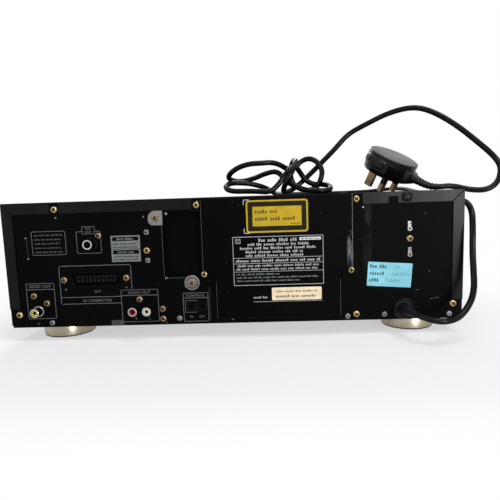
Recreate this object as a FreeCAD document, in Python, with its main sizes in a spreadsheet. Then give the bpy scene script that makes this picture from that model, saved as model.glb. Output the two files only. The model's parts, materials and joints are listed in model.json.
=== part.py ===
import FreeCAD, Part
import math
import os
import re
import Sketcher
from FreeCAD import Placement, Rotation, Vector

# Laserdisc player with a sliding tray, all lengths in millimetres.
# +X is the right hand side seen from the front, +Y points to the rear panel, +Z is up.
# The origin is on the floor, under the middle of the cabinet.

SIZES = {
    # cabinet
    "body_width": 420, "body_height": 117, "overall_depth": 390,
    "foot_height": 14, "foot_radius": 24.6, "foot_side": 171, "foot_inset": 36,
    "foot_pad": 2, "foot_step": 2.4, "foot_screw": 2.5,
    "jack_reach": 11, "button_reach": 2,
    "sheet": 1, "panel_sheet": 1, "pan_sheet": 1.2, "pan_flange": 16, "skirt_gap": 2,
    "lip_height": 10.4, "lip_width": 9.8, "lip_foot": 17.9, "mitre": 0.6,
    "lip_left_end": 34, "lip_right_end": 120, "lip_notch": 8.5, "lip_notch_at": 143,
    "lip_notch_depth": 6, "screw_notch": 9, "screw_notch_at": 160.3,
    "fascia_depth": 28, "fascia_wall": 3, "fascia_round": 4,
    # raised cover in the middle of the rear panel
    "cover_rise": 4, "cover_sheet": 1, "cover_left": 25.4, "cover_right": 110.4,
    "waist_left": 14, "waist_right": 99.4, "shoulder_top": 53, "shoulder_low": 42.8,
    "cover_foot": 4.5, "cover_corner": 3, "cover_edge": 1.5, "hatch_margin": 8,
    # pressed recess beside it
    "recess_near": 28, "recess_far": 62, "recess_low": 44.3, "recess_high": 104,
    "recess_depth": 6,
    # tray and its mouth
    "tray_half": 168, "tray_bottom": 80, "tray_thick": 7, "recess_floor": 2.5,
    "disc_radius": 152.5, "small_disc_radius": 61.5, "small_disc_step": 1,
    "slot_half": 30, "tray_tail": 140, "arm_tail": 176, "arm_width": 16,
    "disc_centre": 26, "door_half": 170, "door_low": 72.6, "door_height": 36.4,
    "door_thick": 4, "mouth_gap": 0.8,
    # side frames and clamp bridge
    "rail_gap": 0.3, "side_gap": 0.4, "frame_sheet": 1.5, "ledge_width": 8,
    "frame_low": 60, "frame_front": 158, "frame_leg": 20, "front_leg_at": 158,
    "rear_leg_at": 98, "leg_foot": 12, "frame_rear": 160, "bridge_level": 105, "bridge_half": 38,
    "bridge_rib": 8, "bridge_rib_half": 150, "bridge_hole": 16,
    # clamper
    "pad_radius": 24, "clamp_bore": 18.8, "clamp_level": 90.8, "clamp_bore_depth": 3.8,
    "pad_thick": 5.5, "neck_radius": 13.5, "cap_radius": 22, "cap_thick": 3.4,
    # turntable
    "platter_radius": 21, "platter_level": 88, "platter_thick": 3.5, "mat_thick": 0.8,
    "mat_inner": 17.6, "hub_radius": 17.4, "hub_rise": 2, "cone_radius": 7.4,
    "cone_rise": 3, "cone_taper": 1, "shaft_low": 50, "boss_radius": 9,
    "spindle_radius": 2, "running_gap": 0.06,
    "motor_radius": 20, "motor_low": 42, "motor_nose": 6, "nose_top": 70,
    # drive frame, its hinge and the pickup
    "plate_low": 60, "plate_thick": 3, "plate_half": 58, "plate_front": 72,
    "plate_rear": 154, "hinge_at": 157, "hinge_level": 61.5, "barrel_radius": 4.5,
    "barrel_near": 44, "barrel_far": 56, "pin_radius": 2, "bracket_sheet": 2,
    "bracket_gap": 0.4, "bracket_depth": 8, "bracket_top": 68,
    "shaft_level": 71, "shaft_radius": 2.5, "shaft_side": 46,
    "block_half": 6, "block_front": 22, "block_rear": 146, "block_thick": 6,
    "block_top": 76, "lens_start": 26, "carriage_front": 12, "carriage_length": 40, "carriage_half": 52,
    "carriage_low": 66.5, "carriage_top": 75.5, "turret_radius": 8, "turret_top": 83.2,
    "lens_radius": 3.5, "lens_thick": 2, "screw_side": 30,
    "nut_gap": 0.4, "feed_motor_radius": 7.4, "feed_motor_length": 22,
    "window_half": 22, "window_edge": 14, "tilt_drop": 3.8,
    # lift cam
    "cam_front": 80, "cam_sheet": 2, "cam_half": 48, "cam_low": 30, "cam_high": 72,
    "cam_travel": 24, "cam_pin_side": 18, "cam_pin_radius": 2, "cam_slot_gap": 0.9,
    "stud_level": 36, "stud_side": 14, "stud_radius": 2, "stud_head": 4,
    "stud_gap": 0.3, "cam_bracket_top": 44, "cam_bracket_half": 30, "cam_bracket_foot": 10,
    # loading drive
    "gear_module": 1.5, "gear_teeth": 16, "rack_pitch_side": 148, "rack_back": 156,
    "rack_low": 73.5, "rack_front": 155, "rack_tail": 171,
    "tip_half": 0.48, "foot_half": 1.32, "addendum": 1.2, "dedendum": 1.7,
    "gear_at": 142, "gear_low": 74.2, "gear_top": 79.3, "pulley_radius": 16,
    "flange_rise": 2, "pulley_low": 66.4, "flange_thick": 1, "groove": 2.8,
    "drive_pulley_radius": 3.5, "drive_pulley_side": 86, "belt_gap": 0.3,
    "belt_thick": 1.5, "belt_height": 2, "beam_low": 62, "beam_sheet": 2,
    "beam_front": 157, "beam_rear": 127, "beam_fold_depth": 8, "motor_shaft": 1, "loading_motor_radius": 12,
    "loading_motor_length": 22,
    # electronics
    "board": 1.6, "board_level": 21.5, "front_board_at": 17, "post_radius": 3,
    "post_inset": 6, "front_board_low": 20, "front_board_high": 71, "chip_inset": 34,
    "chip": 22, "chip_thick": 2.4, "can_pitch": 30, "can_radius": 11, "can_height": 30,
    "sink_inset": 20, "sink_thick": 3, "vent_side": 96, "vent_reach": 78, "vent_width": 3,
    "vent_length": 40, "vent_pitch": 9,
    "main_board_near": 78, "main_board_far": 198, "main_board_front": 118,
    "main_board_rear": 92, "power_board_near": 88, "power_board_far": 198,
    "power_board_front": 110, "power_board_rear": 60, "jack_board_at": 166,
    "jack_board_near": 22, "jack_board_far": 198, "jack_board_low": 19,
    "jack_board_high": 72, "core_near": 98, "core_far": 160, "core_front": 104,
    "core_rear": 156, "core_top": 70, "coil_grow": 9,
    # front panel
    "window_side": 78, "window_low": 24, "window_high": 52, "window_thick": 2,
    "tube_side": 60, "tube_low": 28, "tube_high": 48, "tube_depth": 7,
    "key_gap": 0.5, "key_stop": 1.6, "key_round": 1.5, "door_round": 1.2,
    # sockets
    "rca_radius": 4.15, "rca_bore": 3.35, "rca_inset": 1.2, "rca_contact": 1.7,
    "rca_depth": 9, "rca_collar": 6.5,
    "rca_collar_thick": 1.6, "rca_body": 6,
    "mini_half": 5, "mini_bore": 1.8, "mini_depth": 14, "mini_proud": 0.8,
    "scart_half_top": 24, "scart_half_low": 21.6, "scart_half_height": 6.6,
    "scart_shell": 1, "scart_block_inset": 3, "scart_depth": 12, "scart_proud": 1.2,
    "scart_slot": 1.1, "scart_slot_height": 3, "scart_slot_web": 0.5,
    "scart_slot_depth": 6, "scart_slot_pitch": 3.81,
    "gland_radius": 9, "gland_flange": 2.6, "gland_neck": 7, "gland_nose": 5,
    "gland_reach": 10,
    # fasteners
    "screw_head": 3.1, "screw_rise": 1.9, "screw_shank": 1.4, "shank_length": 6,
    "screw_socket": 1.1, "socket_depth": 0.8, "washer_half": 6.6, "washer_thick": 0.8,
    "rivet_head": 2.6, "rivet_rise": 1.2,
    # mains cord and plug
    "cord": 5.3, "bundle_left": 103, "bundle_right": 8, "bundle_front": 112,
    "bundle_rear": 150, "bundle_low": 131.3, "bundle_high": 166, "bundle_round": 13,
    "plug_radius": 25, "plug_neck": 21, "plug_base": 5, "plug_wall": 14, "plug_dome": 3,
    "plug_crown": 17, "plug_grip": 6.5, "plug_grip_length": 10, "plug_grip_level": 7,
    "earth_length": 22.7, "earth_wide": 8, "earth_offset": 14, "pin_thick": 4,
    "live_length": 17.7, "live_wide": 6.35, "live_pitch": 22.2, "live_side": 11.1,
    "plug_side": 158, "plug_back": 124, "plug_level": 151.9,
    "plug_lean": 21, "plug_tip": 22, "plug_turn": 43,
    # middles of the sockets on the rear panel
    "video_side": 181.8, "video_level": 30.1, "red_side": 91, "white_side": 78,
    "audio_level": 29.1, "rf_side": 127.8, "rf_level": 92, "rf_near": 116, "rf_far": 146,
    "rf_low": 80, "rf_high": 96.6, "rf_front": 143, "scart_side": 126, "scart_level": 59,
    "control_out_side": 28.1, "control_in_side": 38.6, "control_level": 30.6,
    "gland_side": 157.5, "gland_level": 24.5,
}

# Planes and levels that several sub-parts share, worked out from the sheet.
LINES = {
    "underside": "foot_height",
    "roof": "foot_height + body_height",
    "half": "body_width / 2",
    "inside": "half - sheet",
    "rear": "overall_depth / 2 - jack_reach",
    "front": "button_reach - overall_depth / 2",
    "fascia_back": "front + fascia_depth",
    "panel_in": "rear - panel_sheet",
    "pan_top": "underside + pan_sheet",
    "under_roof": "roof - sheet",
    "cover_face": "rear + cover_rise",
    "tray_top": "tray_bottom + tray_thick",
    "door_back": "front + door_thick",
    "frame_in": "tray_half + side_gap",
    "frame_out": "frame_in + frame_sheet",
    "ledge_top": "tray_bottom - rail_gap",
    "lip_bottom": "tray_top + rail_gap",
    "bridge_top": "bridge_level + frame_sheet",
    "platter_low": "platter_level - mat_thick - platter_thick",
    "hub_top": "platter_level + hub_rise",
    "cap_low": "bridge_top + rail_gap",
    "plate_top": "plate_low + plate_thick",
    "board_top": "board_level + board",
    "pitch_radius": "gear_module * gear_teeth / 2",
    "gear_side": "rack_pitch_side - pitch_radius",
    "groove_low": "pulley_low + flange_thick",
    "groove_high": "groove_low + groove",
    "beam_top": "beam_low + beam_sheet",
    "cam_back": "-cam_front",
    "cam_face": "cam_back - cam_sheet",
    "cam_drop": "(hinge_at + cam_front) * tan(tilt_drop)",
    "glass_back": "front + fascia_wall",
    "lens_at": "lens_start - disc_centre",
    "board_face": "front + front_board_at",
    "pitch": "pi * gear_module",
}

# Front keys: middle across, middle up, half width, half height.
KEYS = {
    "power_key": (-176, 44, 12, 6),
    "eject_key": (-120, 44, 14, 6),
    "stop_key": (104, 46, 11, 6),
    "play_key": (136, 46, 15, 8),
    "back_key": (98, 30, 8, 4),
    "next_key": (120, 30, 8, 4),
}
# Screws and rivets on the rear panel: across, up.
GOLD_SCREWS = [
    (160.3, 124.3), (201.5, 26.4), (29.5, 124.3), (24.9, 60.8), (77, 84.3), (-114.5, 125.3),
    (-109.6, 61.2), (-114.2, 20), (-162.3, 88.4), (-201.7, 27.9),
]
COPPER_SCREWS = [
    (186.3, 44.2), (174.5, 37), (121.2, 99.1), (156.4, 58.7), (97.8, 59.4), (86.6, 38.6),
    (65.4, 29.2), (65.3, 19.8),
]
WASHER_SCREWS = [(67.6, 113.8), (36.7, 53.1)]
RIVETS = [(171.1, 18.2), (50, 19.8), (-198.6, 18.3), (-139.8, 19.1), (-106.2, 18)]

for key, places in KEYS.items():
    for part_of_key, number in zip(("side", "level", "half_width", "half_height"), places):
        SIZES[f"{key}_{part_of_key}"] = number
for kind, spots in (("gold", GOLD_SCREWS), ("copper", COPPER_SCREWS),
                    ("washer", WASHER_SCREWS), ("rivet", RIVETS)):
    for count, (side, level) in enumerate(spots):
        SIZES[f"{kind}_{count}_side"] = side
        SIZES[f"{kind}_{count}_level"] = level

doc = FreeCAD.newDocument("laserdisc_player")
sheet = doc.addObject("Spreadsheet::Sheet", "Sizes")
for row, (word, number) in enumerate(SIZES.items(), start=1):
    sheet.set(f"A{row}", word)
    sheet.set(f"B{row}", str(number))
    sheet.setAlias(f"B{row}", word)
doc.recompute()

SUBPARTS = []
TURN = {
    "x": Rotation(Vector(0, 1, 0), 90),
    "y": Rotation(Vector(1, 0, 0), -90),
    "z": Rotation(),
}
SKETCH_PLANE = {"x": ("YZ_Plane", 1), "y": ("XZ_Plane", -1), "z": ("XY_Plane", 1)}


def expand(text):
    """A formula in the sheet's own terms, with every shared line worked out."""
    def swap(match):
        word = match.group(0)
        if word in LINES:
            return "(" + expand(LINES[word]) + ")"
        return "Sizes." + word if word in SIZES else word
    return re.sub(r"[a-z][a-z_0-9]*", swap, str(text))


def bind(item, path, text):
    item.setExpression(path, expand(text))


def measure(text):
    """The present value of a formula."""
    return float(sheet.evalExpression(expand(text)))


def keep(item, node):
    """Name a finished sub-part after its node."""
    item.Label = node
    SUBPARTS.append(item)
    return item


# ---------------------------------------------------------------- solids from primitives

def block(name, x, y, z):
    """A box between two formulas along each axis."""
    item = doc.addObject("Part::Box", name)
    for length, axis, (low, high) in zip(("Length", "Width", "Height"), "xyz", (x, y, z)):
        bind(item, length, f"({high}) - ({low})")
        bind(item, "Placement.Base." + axis, low)
    return item


def round_bar(name, axis, radius, centre, span, top_radius=None):
    """A cylinder, or a cone when top_radius is given, along an axis between two formulas."""
    item = doc.addObject("Part::Cone" if top_radius else "Part::Cylinder", name)
    item.Placement = Placement(Vector(), TURN[axis])
    bind(item, "Radius1" if top_radius else "Radius", radius)
    if top_radius:
        bind(item, "Radius2", top_radius)
    bind(item, "Height", f"({span[1]}) - ({span[0]})")
    places = iter(centre)
    for name_of_axis in "xyz":
        bind(item, "Placement.Base." + name_of_axis,
             span[0] if name_of_axis == axis else next(places))
    return item


def join(name, *pieces):
    item = doc.addObject("Part::MultiFuse", name)
    item.Shapes = list(pieces)
    item.Refine = True
    return item


def cut(name, base, *tools):
    item = doc.addObject("Part::Cut", name)
    item.Base = base
    item.Tool = tools[0] if len(tools) == 1 else join(name + "_tools", *tools)
    item.Refine = True
    return item


def group(name, *pieces):
    """Separate solids that share one node."""
    item = doc.addObject("Part::Compound", name)
    item.Links = list(pieces)
    return item


# ---------------------------------------------------------------- solids from sketches

def new_body(name):
    return doc.addObject("PartDesign::Body", name)


def new_sketch(body, name, axis, level):
    """A sketch square to an axis, at a level along it."""
    role, sign = SKETCH_PLANE[axis]
    plane = next(face for face in body.Origin.OriginFeatures if face.Role == role)
    sketch = body.newObject("Sketcher::SketchObject", name)
    sketch.AttachmentSupport = (plane, [""])
    sketch.MapMode = "FlatFace"
    bind(sketch, "AttachmentOffset.Base.z", f"{sign} * ({level})")
    return sketch


def fix_point(sketch, geometry, corner, place):
    for kind, text in zip(("DistanceX", "DistanceY"), place):
        number = sketch.addConstraint(
            Sketcher.Constraint(kind, -1, 1, geometry, corner, measure(text)))
        bind(sketch, f"Constraints[{number}]", text)


def draw_outline(sketch, corners):
    """A closed outline of straight lines through corners given as pairs of formulas."""
    first = sketch.GeometryCount
    spots = [Vector(measure(a), measure(b), 0) for a, b in corners]
    for start, end in zip(spots, spots[1:] + spots[:1]):
        sketch.addGeometry(Part.LineSegment(start, end), False)
    count = len(corners)
    for number in range(count):
        after = first + (number + 1) % count
        sketch.addConstraint(Sketcher.Constraint("Coincident", first + number, 2, after, 1))
        fix_point(sketch, first + number, 1, corners[number])


def draw_box(sketch, across, along):
    (left, right), (low, high) = across, along
    draw_outline(sketch, [(left, low), (right, low), (right, high), (left, high)])


def draw_circle(sketch, centre, radius):
    spot = Vector(measure(centre[0]), measure(centre[1]), 0)
    circle = sketch.addGeometry(Part.Circle(spot, Vector(0, 0, 1), measure(radius)), False)
    number = sketch.addConstraint(Sketcher.Constraint("Radius", circle, measure(radius)))
    bind(sketch, f"Constraints[{number}]", radius)
    fix_point(sketch, circle, 3, centre)


def feature(body, kind, name, axis, span, draw):
    """A pad or pocket between two levels, from the outline that draw makes."""
    along = SKETCH_PLANE[axis][1] > 0
    start = span[0] if along == (kind == "Pad") else span[1]
    sketch = new_sketch(body, name + "_sketch", axis, start)
    draw(sketch)
    item = body.newObject("PartDesign::" + kind, name)
    item.Profile = sketch
    bind(item, "Length", f"({span[1]}) - ({span[0]})")
    doc.recompute()
    return item


def pad(body, name, axis, span, draw):
    return feature(body, "Pad", name, axis, span, draw)


def pocket(body, name, axis, span, draw):
    before = body.Shape.Volume
    item = feature(body, "Pocket", name, axis, span, draw)
    if body.Shape.Volume > before - 0.001:
        raise RuntimeError(name + " cuts nothing")
    return item


def turned(name, axis, centre, profile):
    """A solid of revolution about a line along Y or Z through centre.

    The profile's corners are (radius, level) formulas."""
    body = new_body(name)
    sketch = body.newObject("Sketcher::SketchObject", name + "_profile")
    plane = next(face for face in body.Origin.OriginFeatures if face.Role == "XZ_Plane")
    sketch.AttachmentSupport = (plane, [""])
    sketch.MapMode = "FlatFace"
    draw_outline(sketch, profile)
    spin = body.newObject("PartDesign::Revolution", name + "_turned")
    spin.Profile = sketch
    spin.ReferenceAxis = (sketch, ["V_Axis"])
    spin.Angle = 360
    body.Placement = Placement(Vector(), TURN[axis])
    for name_of_axis, place in zip([letter for letter in "xyz" if letter != axis], centre):
        bind(body, "Placement.Base." + name_of_axis, place)
    return body


def boxed(across, along):
    return lambda sketch: draw_box(sketch, across, along)


def ringed(centre, radius):
    return lambda sketch: draw_circle(sketch, centre, radius)


def repeat_along(body, item, sketch, step, count):
    """Copies of a feature along the horizontal axis of a sketch."""
    pattern = body.newObject("PartDesign::LinearPattern", item.Name + "_row")
    pattern.Originals = [item]
    pattern.Direction = (sketch, ["H_Axis"])
    pattern.Mode = "Spacing"
    bind(pattern, "Offset", step)
    bind(pattern, "Occurrences", count)
    body.Tip = pattern
    doc.recompute()
    return pattern


def repeat_round(body, item, sketch, count):
    """Copies of a feature all the way round the normal of a sketch."""
    pattern = body.newObject("PartDesign::PolarPattern", item.Name + "_ring")
    pattern.Originals = [item]
    pattern.Axis = (sketch, ["N_Axis"])
    pattern.Angle = 360
    bind(pattern, "Occurrences", count)
    body.Tip = pattern
    doc.recompute()
    return pattern


def soften(body, kind, size, picked):
    """A fillet or chamfer on the edges for which picked says yes."""
    edges = [f"Edge{number}" for number, edge in enumerate(body.Shape.Edges, start=1)
             if picked(edge)]
    base = body.Tip
    item = body.newObject("PartDesign::" + kind, body.Name + "_" + kind.lower())
    item.Base = (base, edges)
    bind(item, "Radius" if kind == "Fillet" else "Size", size)
    doc.recompute()
    return item


def both_sides(near, far, sign):
    """The span from near to far on the right (+1) or left (-1) of the middle."""
    return (near, far) if sign > 0 else (f"-({far})", f"-({near})")


# ---------------------------------------------------------------- cabinet

def make_base_pan():
    """Bottom pan with upturned edges, vent slots and posts for the two circuit boards."""
    body = new_body("base_pan_body")
    wide = ("-inside", "inside")
    flange = ("pan_top", "pan_top + pan_flange")
    pad(body, "pan_floor", "z", ("underside", "pan_top"), boxed(wide, ("fascia_back", "panel_in")))
    pad(body, "pan_left", "z", flange,
        boxed(("-inside", "pan_sheet - inside"), ("fascia_back", "panel_in")))
    pad(body, "pan_right", "z", flange,
        boxed(("inside - pan_sheet", "inside"), ("fascia_back", "panel_in")))
    pad(body, "pan_front", "z", flange,
        boxed(("pan_sheet - inside", "inside - pan_sheet"),
              ("fascia_back", "fascia_back + pan_sheet")))
    corners = [
        ("main_board_near + post_inset", "main_board_far - post_inset",
         "post_inset - main_board_front", "main_board_rear - post_inset"),
        ("post_inset - power_board_far", "-(power_board_near + post_inset)",
         "post_inset - power_board_front", "power_board_rear - post_inset"),
    ]
    for number, (left, right, low, high) in enumerate(corners):
        for count, spot in enumerate([(left, low), (right, low), (left, high), (right, high)]):
            pad(body, f"pan_post_{number}_{count}", "z", ("pan_top", "board_level"),
                ringed(spot, "post_radius"))
    for number, start in enumerate(("-vent_side - vent_reach", "vent_side")):
        slot = pocket(body, f"pan_vent_{number}", "z", ("underside", "pan_top"),
                      boxed((start, f"{start} + vent_width"),
                            ("-vent_length / 2", "vent_length / 2")))
        repeat_along(body, slot, slot.Profile[0], "vent_pitch",
                     "floor((vent_reach - vent_width) / vent_pitch) + 1")
    return keep(body, "base_pan")


def panel_holes(sketch):
    """Every round hole in the rear panel: jacks, cord gland and screw shanks."""
    for side, level in (("video_side", "video_level"), ("red_side", "audio_level"),
                        ("white_side", "audio_level"), ("rf_side", "rf_level")):
        draw_circle(sketch, (side, level), "rca_radius")
    draw_circle(sketch, ("-gland_side", "gland_level"), "gland_neck")
    for kind, spots in (("gold", GOLD_SCREWS), ("copper", COPPER_SCREWS),
                        ("washer", WASHER_SCREWS)):
        for count in range(len(spots)):
            draw_circle(sketch, (f"{kind}_{count}_side", f"{kind}_{count}_level"),
                        "screw_shank")


def scart_outline(grow):
    """The socket's four-cornered outline, wider at its top edge."""
    top = f"scart_level + scart_half_height + {grow}"
    low = f"scart_level - scart_half_height - {grow}"
    return [(f"scart_side - scart_half_low - {grow}", low),
            (f"scart_side + scart_half_low + {grow}", low),
            (f"scart_side + scart_half_top + {grow}", top),
            (f"scart_side - scart_half_top - {grow}", top)]


def make_rear_panel():
    """Recessed back sheet with its socket holes, service opening and pressed recess."""
    body = new_body("rear_panel_body")
    depth = ("panel_in", "rear")
    pad(body, "panel_sheet_pad", "y", depth, boxed(("-inside", "inside"), ("underside", "under_roof")))
    recess = ("recess_near", "recess_far")
    recess_tall = ("underside + recess_low", "underside + recess_high")
    pad(body, "panel_recess_shell", "y", ("rear - recess_depth - panel_sheet", "panel_in"),
        boxed(("recess_near - panel_sheet", "recess_far + panel_sheet"),
              ("underside + recess_low - panel_sheet", "underside + recess_high + panel_sheet")))
    pocket(body, "panel_recess", "y", ("rear - recess_depth", "rear"),
           boxed(recess, recess_tall))
    pocket(body, "panel_service_opening", "y", depth,
           boxed(("hatch_margin - waist_right", "waist_left - hatch_margin"),
                 ("underside + cover_foot + hatch_margin", "under_roof - hatch_margin")))
    pocket(body, "panel_round_holes", "y", depth, panel_holes)
    pocket(body, "panel_scart_hole", "y", depth,
           lambda sketch: draw_outline(sketch, scart_outline("0")))
    pocket(body, "panel_control_holes", "y", depth, control_outlines)
    return keep(body, "rear_panel")


def control_outlines(sketch):
    for side in ("control_in_side", "control_out_side"):
        draw_box(sketch, (f"{side} - mini_half", f"{side} + mini_half"),
                 ("control_level - mini_half", "control_level + mini_half"))


def cover_outline(inset):
    """The raised cover seen from behind: wide above, narrower below its shoulders."""
    lowest = f"underside + cover_foot + {inset}"
    left = f"waist_left - {inset}"
    right = f"{inset} - waist_right"
    return [(f"cover_left - {inset}", f"roof - {inset}"),
            (f"cover_left - {inset}", "underside + shoulder_top"),
            (left, "underside + shoulder_low"),
            (left, f"{lowest} + cover_corner"),
            (f"{left} - cover_corner", lowest),
            (f"{right} + cover_corner", lowest),
            (right, f"{lowest} + cover_corner"),
            (right, "underside + shoulder_low"),
            (f"{inset} - cover_right", "underside + shoulder_top"),
            (f"{inset} - cover_right", f"roof - {inset}")]


def make_centre_cover():
    """Pressed steel cover that stands out from the middle of the rear panel."""
    body = new_body("centre_cover_body")
    pad(body, "cover_block", "y", ("rear", "cover_face"),
        lambda sketch: draw_outline(sketch, cover_outline("0")))
    face = measure("cover_face")
    soften(body, "Chamfer", "cover_edge",
           lambda edge: edge.BoundBox.YMin > face - 0.01)
    pocket(body, "cover_hollow", "y", ("rear", "cover_face - cover_sheet"),
           lambda sketch: draw_outline(sketch, cover_outline("(cover_sheet + cover_edge / 2)")))
    return keep(body, "centre_cover")


def make_bonnet():
    """Folded top and sides with mitred lips round the rear panel."""
    depth = ("fascia_back", "rear")
    lip = ("rear", "rear + sheet")
    lip_tall = ("roof - lip_height", "roof")
    sheets = [
        block("bonnet_top", ("-half", "half"), depth, ("under_roof", "roof")),
        block("bonnet_left_lip", ("-half", "-lip_right_end"), lip, lip_tall),
        block("bonnet_right_lip", ("lip_left_end", "half"), lip, lip_tall),
    ]
    for sign, word in ((-1, "left"), (1, "right")):
        sheets.append(block(f"bonnet_{word}_side", both_sides("inside", "half", sign), depth,
                            ("underside + skirt_gap", "under_roof")))
        sheets.append(block(f"bonnet_{word}_edge", both_sides("half - lip_width", "half", sign),
                            lip, ("underside + lip_foot", "roof - lip_height")))
    notches = [
        block("bonnet_notch", ("-lip_notch_at - lip_notch", "-lip_notch_at"), lip,
              ("roof - lip_height", "roof - lip_height + lip_notch_depth")),
        block("bonnet_screw_notch", ("screw_notch_at - screw_notch / 2",
                                     "screw_notch_at + screw_notch / 2"), lip,
              ("roof - lip_height", "roof - sheet")),
    ]
    for sign, word in ((-1, "left"), (1, "right")):
        seam = doc.addObject("Part::Box", f"bonnet_{word}_mitre")
        bind(seam, "Length", "mitre")
        bind(seam, "Width", "sheet")
        bind(seam, "Height", "lip_height * sqrt(2)")
        seam.Placement.Rotation = Rotation(Vector(0, 1, 0), 45 * sign)
        bind(seam, "Placement.Base.x",
             f"{sign} * (half - lip_height) - mitre / 2 * sqrt(2) / 2")
        bind(seam, "Placement.Base.y", "rear")
        bind(seam, "Placement.Base.z",
             f"roof - lip_height + {sign} * mitre / 2 * sqrt(2) / 2")
        notches.append(seam)
    return keep(cut("bonnet_sheet", join("bonnet_folds", *sheets), *notches), "bonnet")


def make_fascia():
    """Moulded front with the tray mouth, the display window and the key holes."""
    body = new_body("fascia_body")
    pad(body, "fascia_block", "y", ("front", "fascia_back"),
        boxed(("-half", "half"), ("underside", "roof")))
    soften(body, "Fillet", "fascia_round", lambda edge: edge.BoundBox.YLength < 0.01
           and edge.BoundBox.YMin < measure("front") + 0.01)
    pocket(body, "fascia_hollow", "y", ("glass_back", "fascia_back"),
           boxed(("fascia_wall - half", "half - fascia_wall"),
                 ("underside + fascia_wall", "roof - fascia_wall")))
    wall = ("front", "glass_back")
    pocket(body, "fascia_mouth", "y", wall,
           boxed(("-door_half - mouth_gap", "door_half + mouth_gap"),
                 ("door_low - mouth_gap", "door_low + door_height + mouth_gap")))
    pocket(body, "fascia_window", "y", wall,
           boxed(("-window_side", "window_side"), ("underside + window_low", "underside + window_high")))
    for key in KEYS:
        pocket(body, f"fascia_{key}_hole", "y", wall, key_outline(key, "key_gap"))
    for number, (side, level) in enumerate(
            [(f"{sign} * (half - fascia_wall - post_inset)", edge) for sign in (-1, 1)
             for edge in ("front_board_low + post_radius", "front_board_high - post_radius")]):
        pad(body, f"fascia_boss_{number}", "y", ("glass_back", "board_face"),
            ringed((side, level), "post_radius"))
    return keep(body, "fascia")


def make_feet():
    """Four round feet: a metal-look skirt over a narrower pad."""
    for name, sign, place in (("foot_rear_left", -1, "rear - foot_inset"),
                              ("foot_rear_right", 1, "rear - foot_inset"),
                              ("foot_front_left", -1, "foot_inset - rear"),
                              ("foot_front_right", 1, "foot_inset - rear")):
        foot = turned(name + "_body", "z", (f"{sign} * foot_side", place), [
            ("foot_screw", "0"), ("foot_radius - foot_step", "0"),
            ("foot_radius - foot_step", "foot_pad"), ("foot_radius", "foot_pad"),
            ("foot_radius", "foot_height"), ("foot_screw", "foot_height")])
        keep(foot, name)


# ---------------------------------------------------------------- front panel pieces

def key_outline(key, grow):
    return boxed((f"{key}_side - {key}_half_width - {grow}",
                  f"{key}_side + {key}_half_width + {grow}"),
                 (f"{key}_level - {key}_half_height - {grow}",
                  f"{key}_level + {key}_half_height + {grow}"))


def make_keys():
    """Six keys that stand out of the fascia, each a rounded block with a soft front edge."""
    face = measure("front - button_reach")
    for key in KEYS:
        body = new_body(key + "_body")
        pad(body, key + "_block", "y", ("front - button_reach", "board_face - key_stop"),
            key_outline(key, "0"))
        soften(body, "Fillet", "key_round",
               lambda edge: edge.BoundBox.YMax < face + 0.01 or edge.BoundBox.YLength > 1)
        keep(body, key)


def make_display():
    keep(block("window_pane", ("-window_side", "window_side"),
               ("front", "front + window_thick"),
               ("underside + window_low", "underside + window_high")), "display_window")
    keep(block("tube_glass", ("-tube_side", "tube_side"),
               ("board_face - tube_depth", "board_face"),
               ("underside + tube_low", "underside + tube_high")), "display_tube")
    keep(block("front_board_sheet", ("fascia_wall - half", "half - fascia_wall"),
               ("board_face", "board_face + board"), ("front_board_low", "front_board_high")),
         "front_board")


# ---------------------------------------------------------------- tray

def make_rack():
    """Toothed bar under the right arm of the tray, in mesh with the loading gear."""
    body = new_body("tray_rack_body")
    root = "rack_pitch_side + dedendum"
    tall = ("rack_low", "tray_bottom")
    pad(body, "rack_bar", "z", tall, boxed((root, "rack_back"), ("-rack_front", "rack_tail")))
    first = "(1.5 * pitch - gear_at)"
    middle = f"{first} - 3 * pitch"
    outline = [("rack_pitch_side - addendum", f"{middle} - tip_half"),
               ("rack_pitch_side - addendum", f"{middle} + tip_half"),
               (root, f"{middle} + foot_half"), (root + " + 0.5", f"{middle} + foot_half"),
               (root + " + 0.5", f"{middle} - foot_half"), (root, f"{middle} - foot_half")]
    tooth = pad(body, "rack_tooth", "z", tall, lambda sketch: draw_outline(sketch, outline))
    pattern = body.newObject("PartDesign::LinearPattern", "rack_teeth")
    pattern.Originals = [tooth]
    pattern.Direction = (tooth.Profile[0], ["V_Axis"])
    pattern.Mode = "Spacing"
    bind(pattern, "Offset", "pitch")
    bind(pattern, "Occurrences", f"floor((rack_tail - ({middle}) - tip_half) / pitch)")
    body.Tip = pattern
    doc.recompute()
    return body


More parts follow.
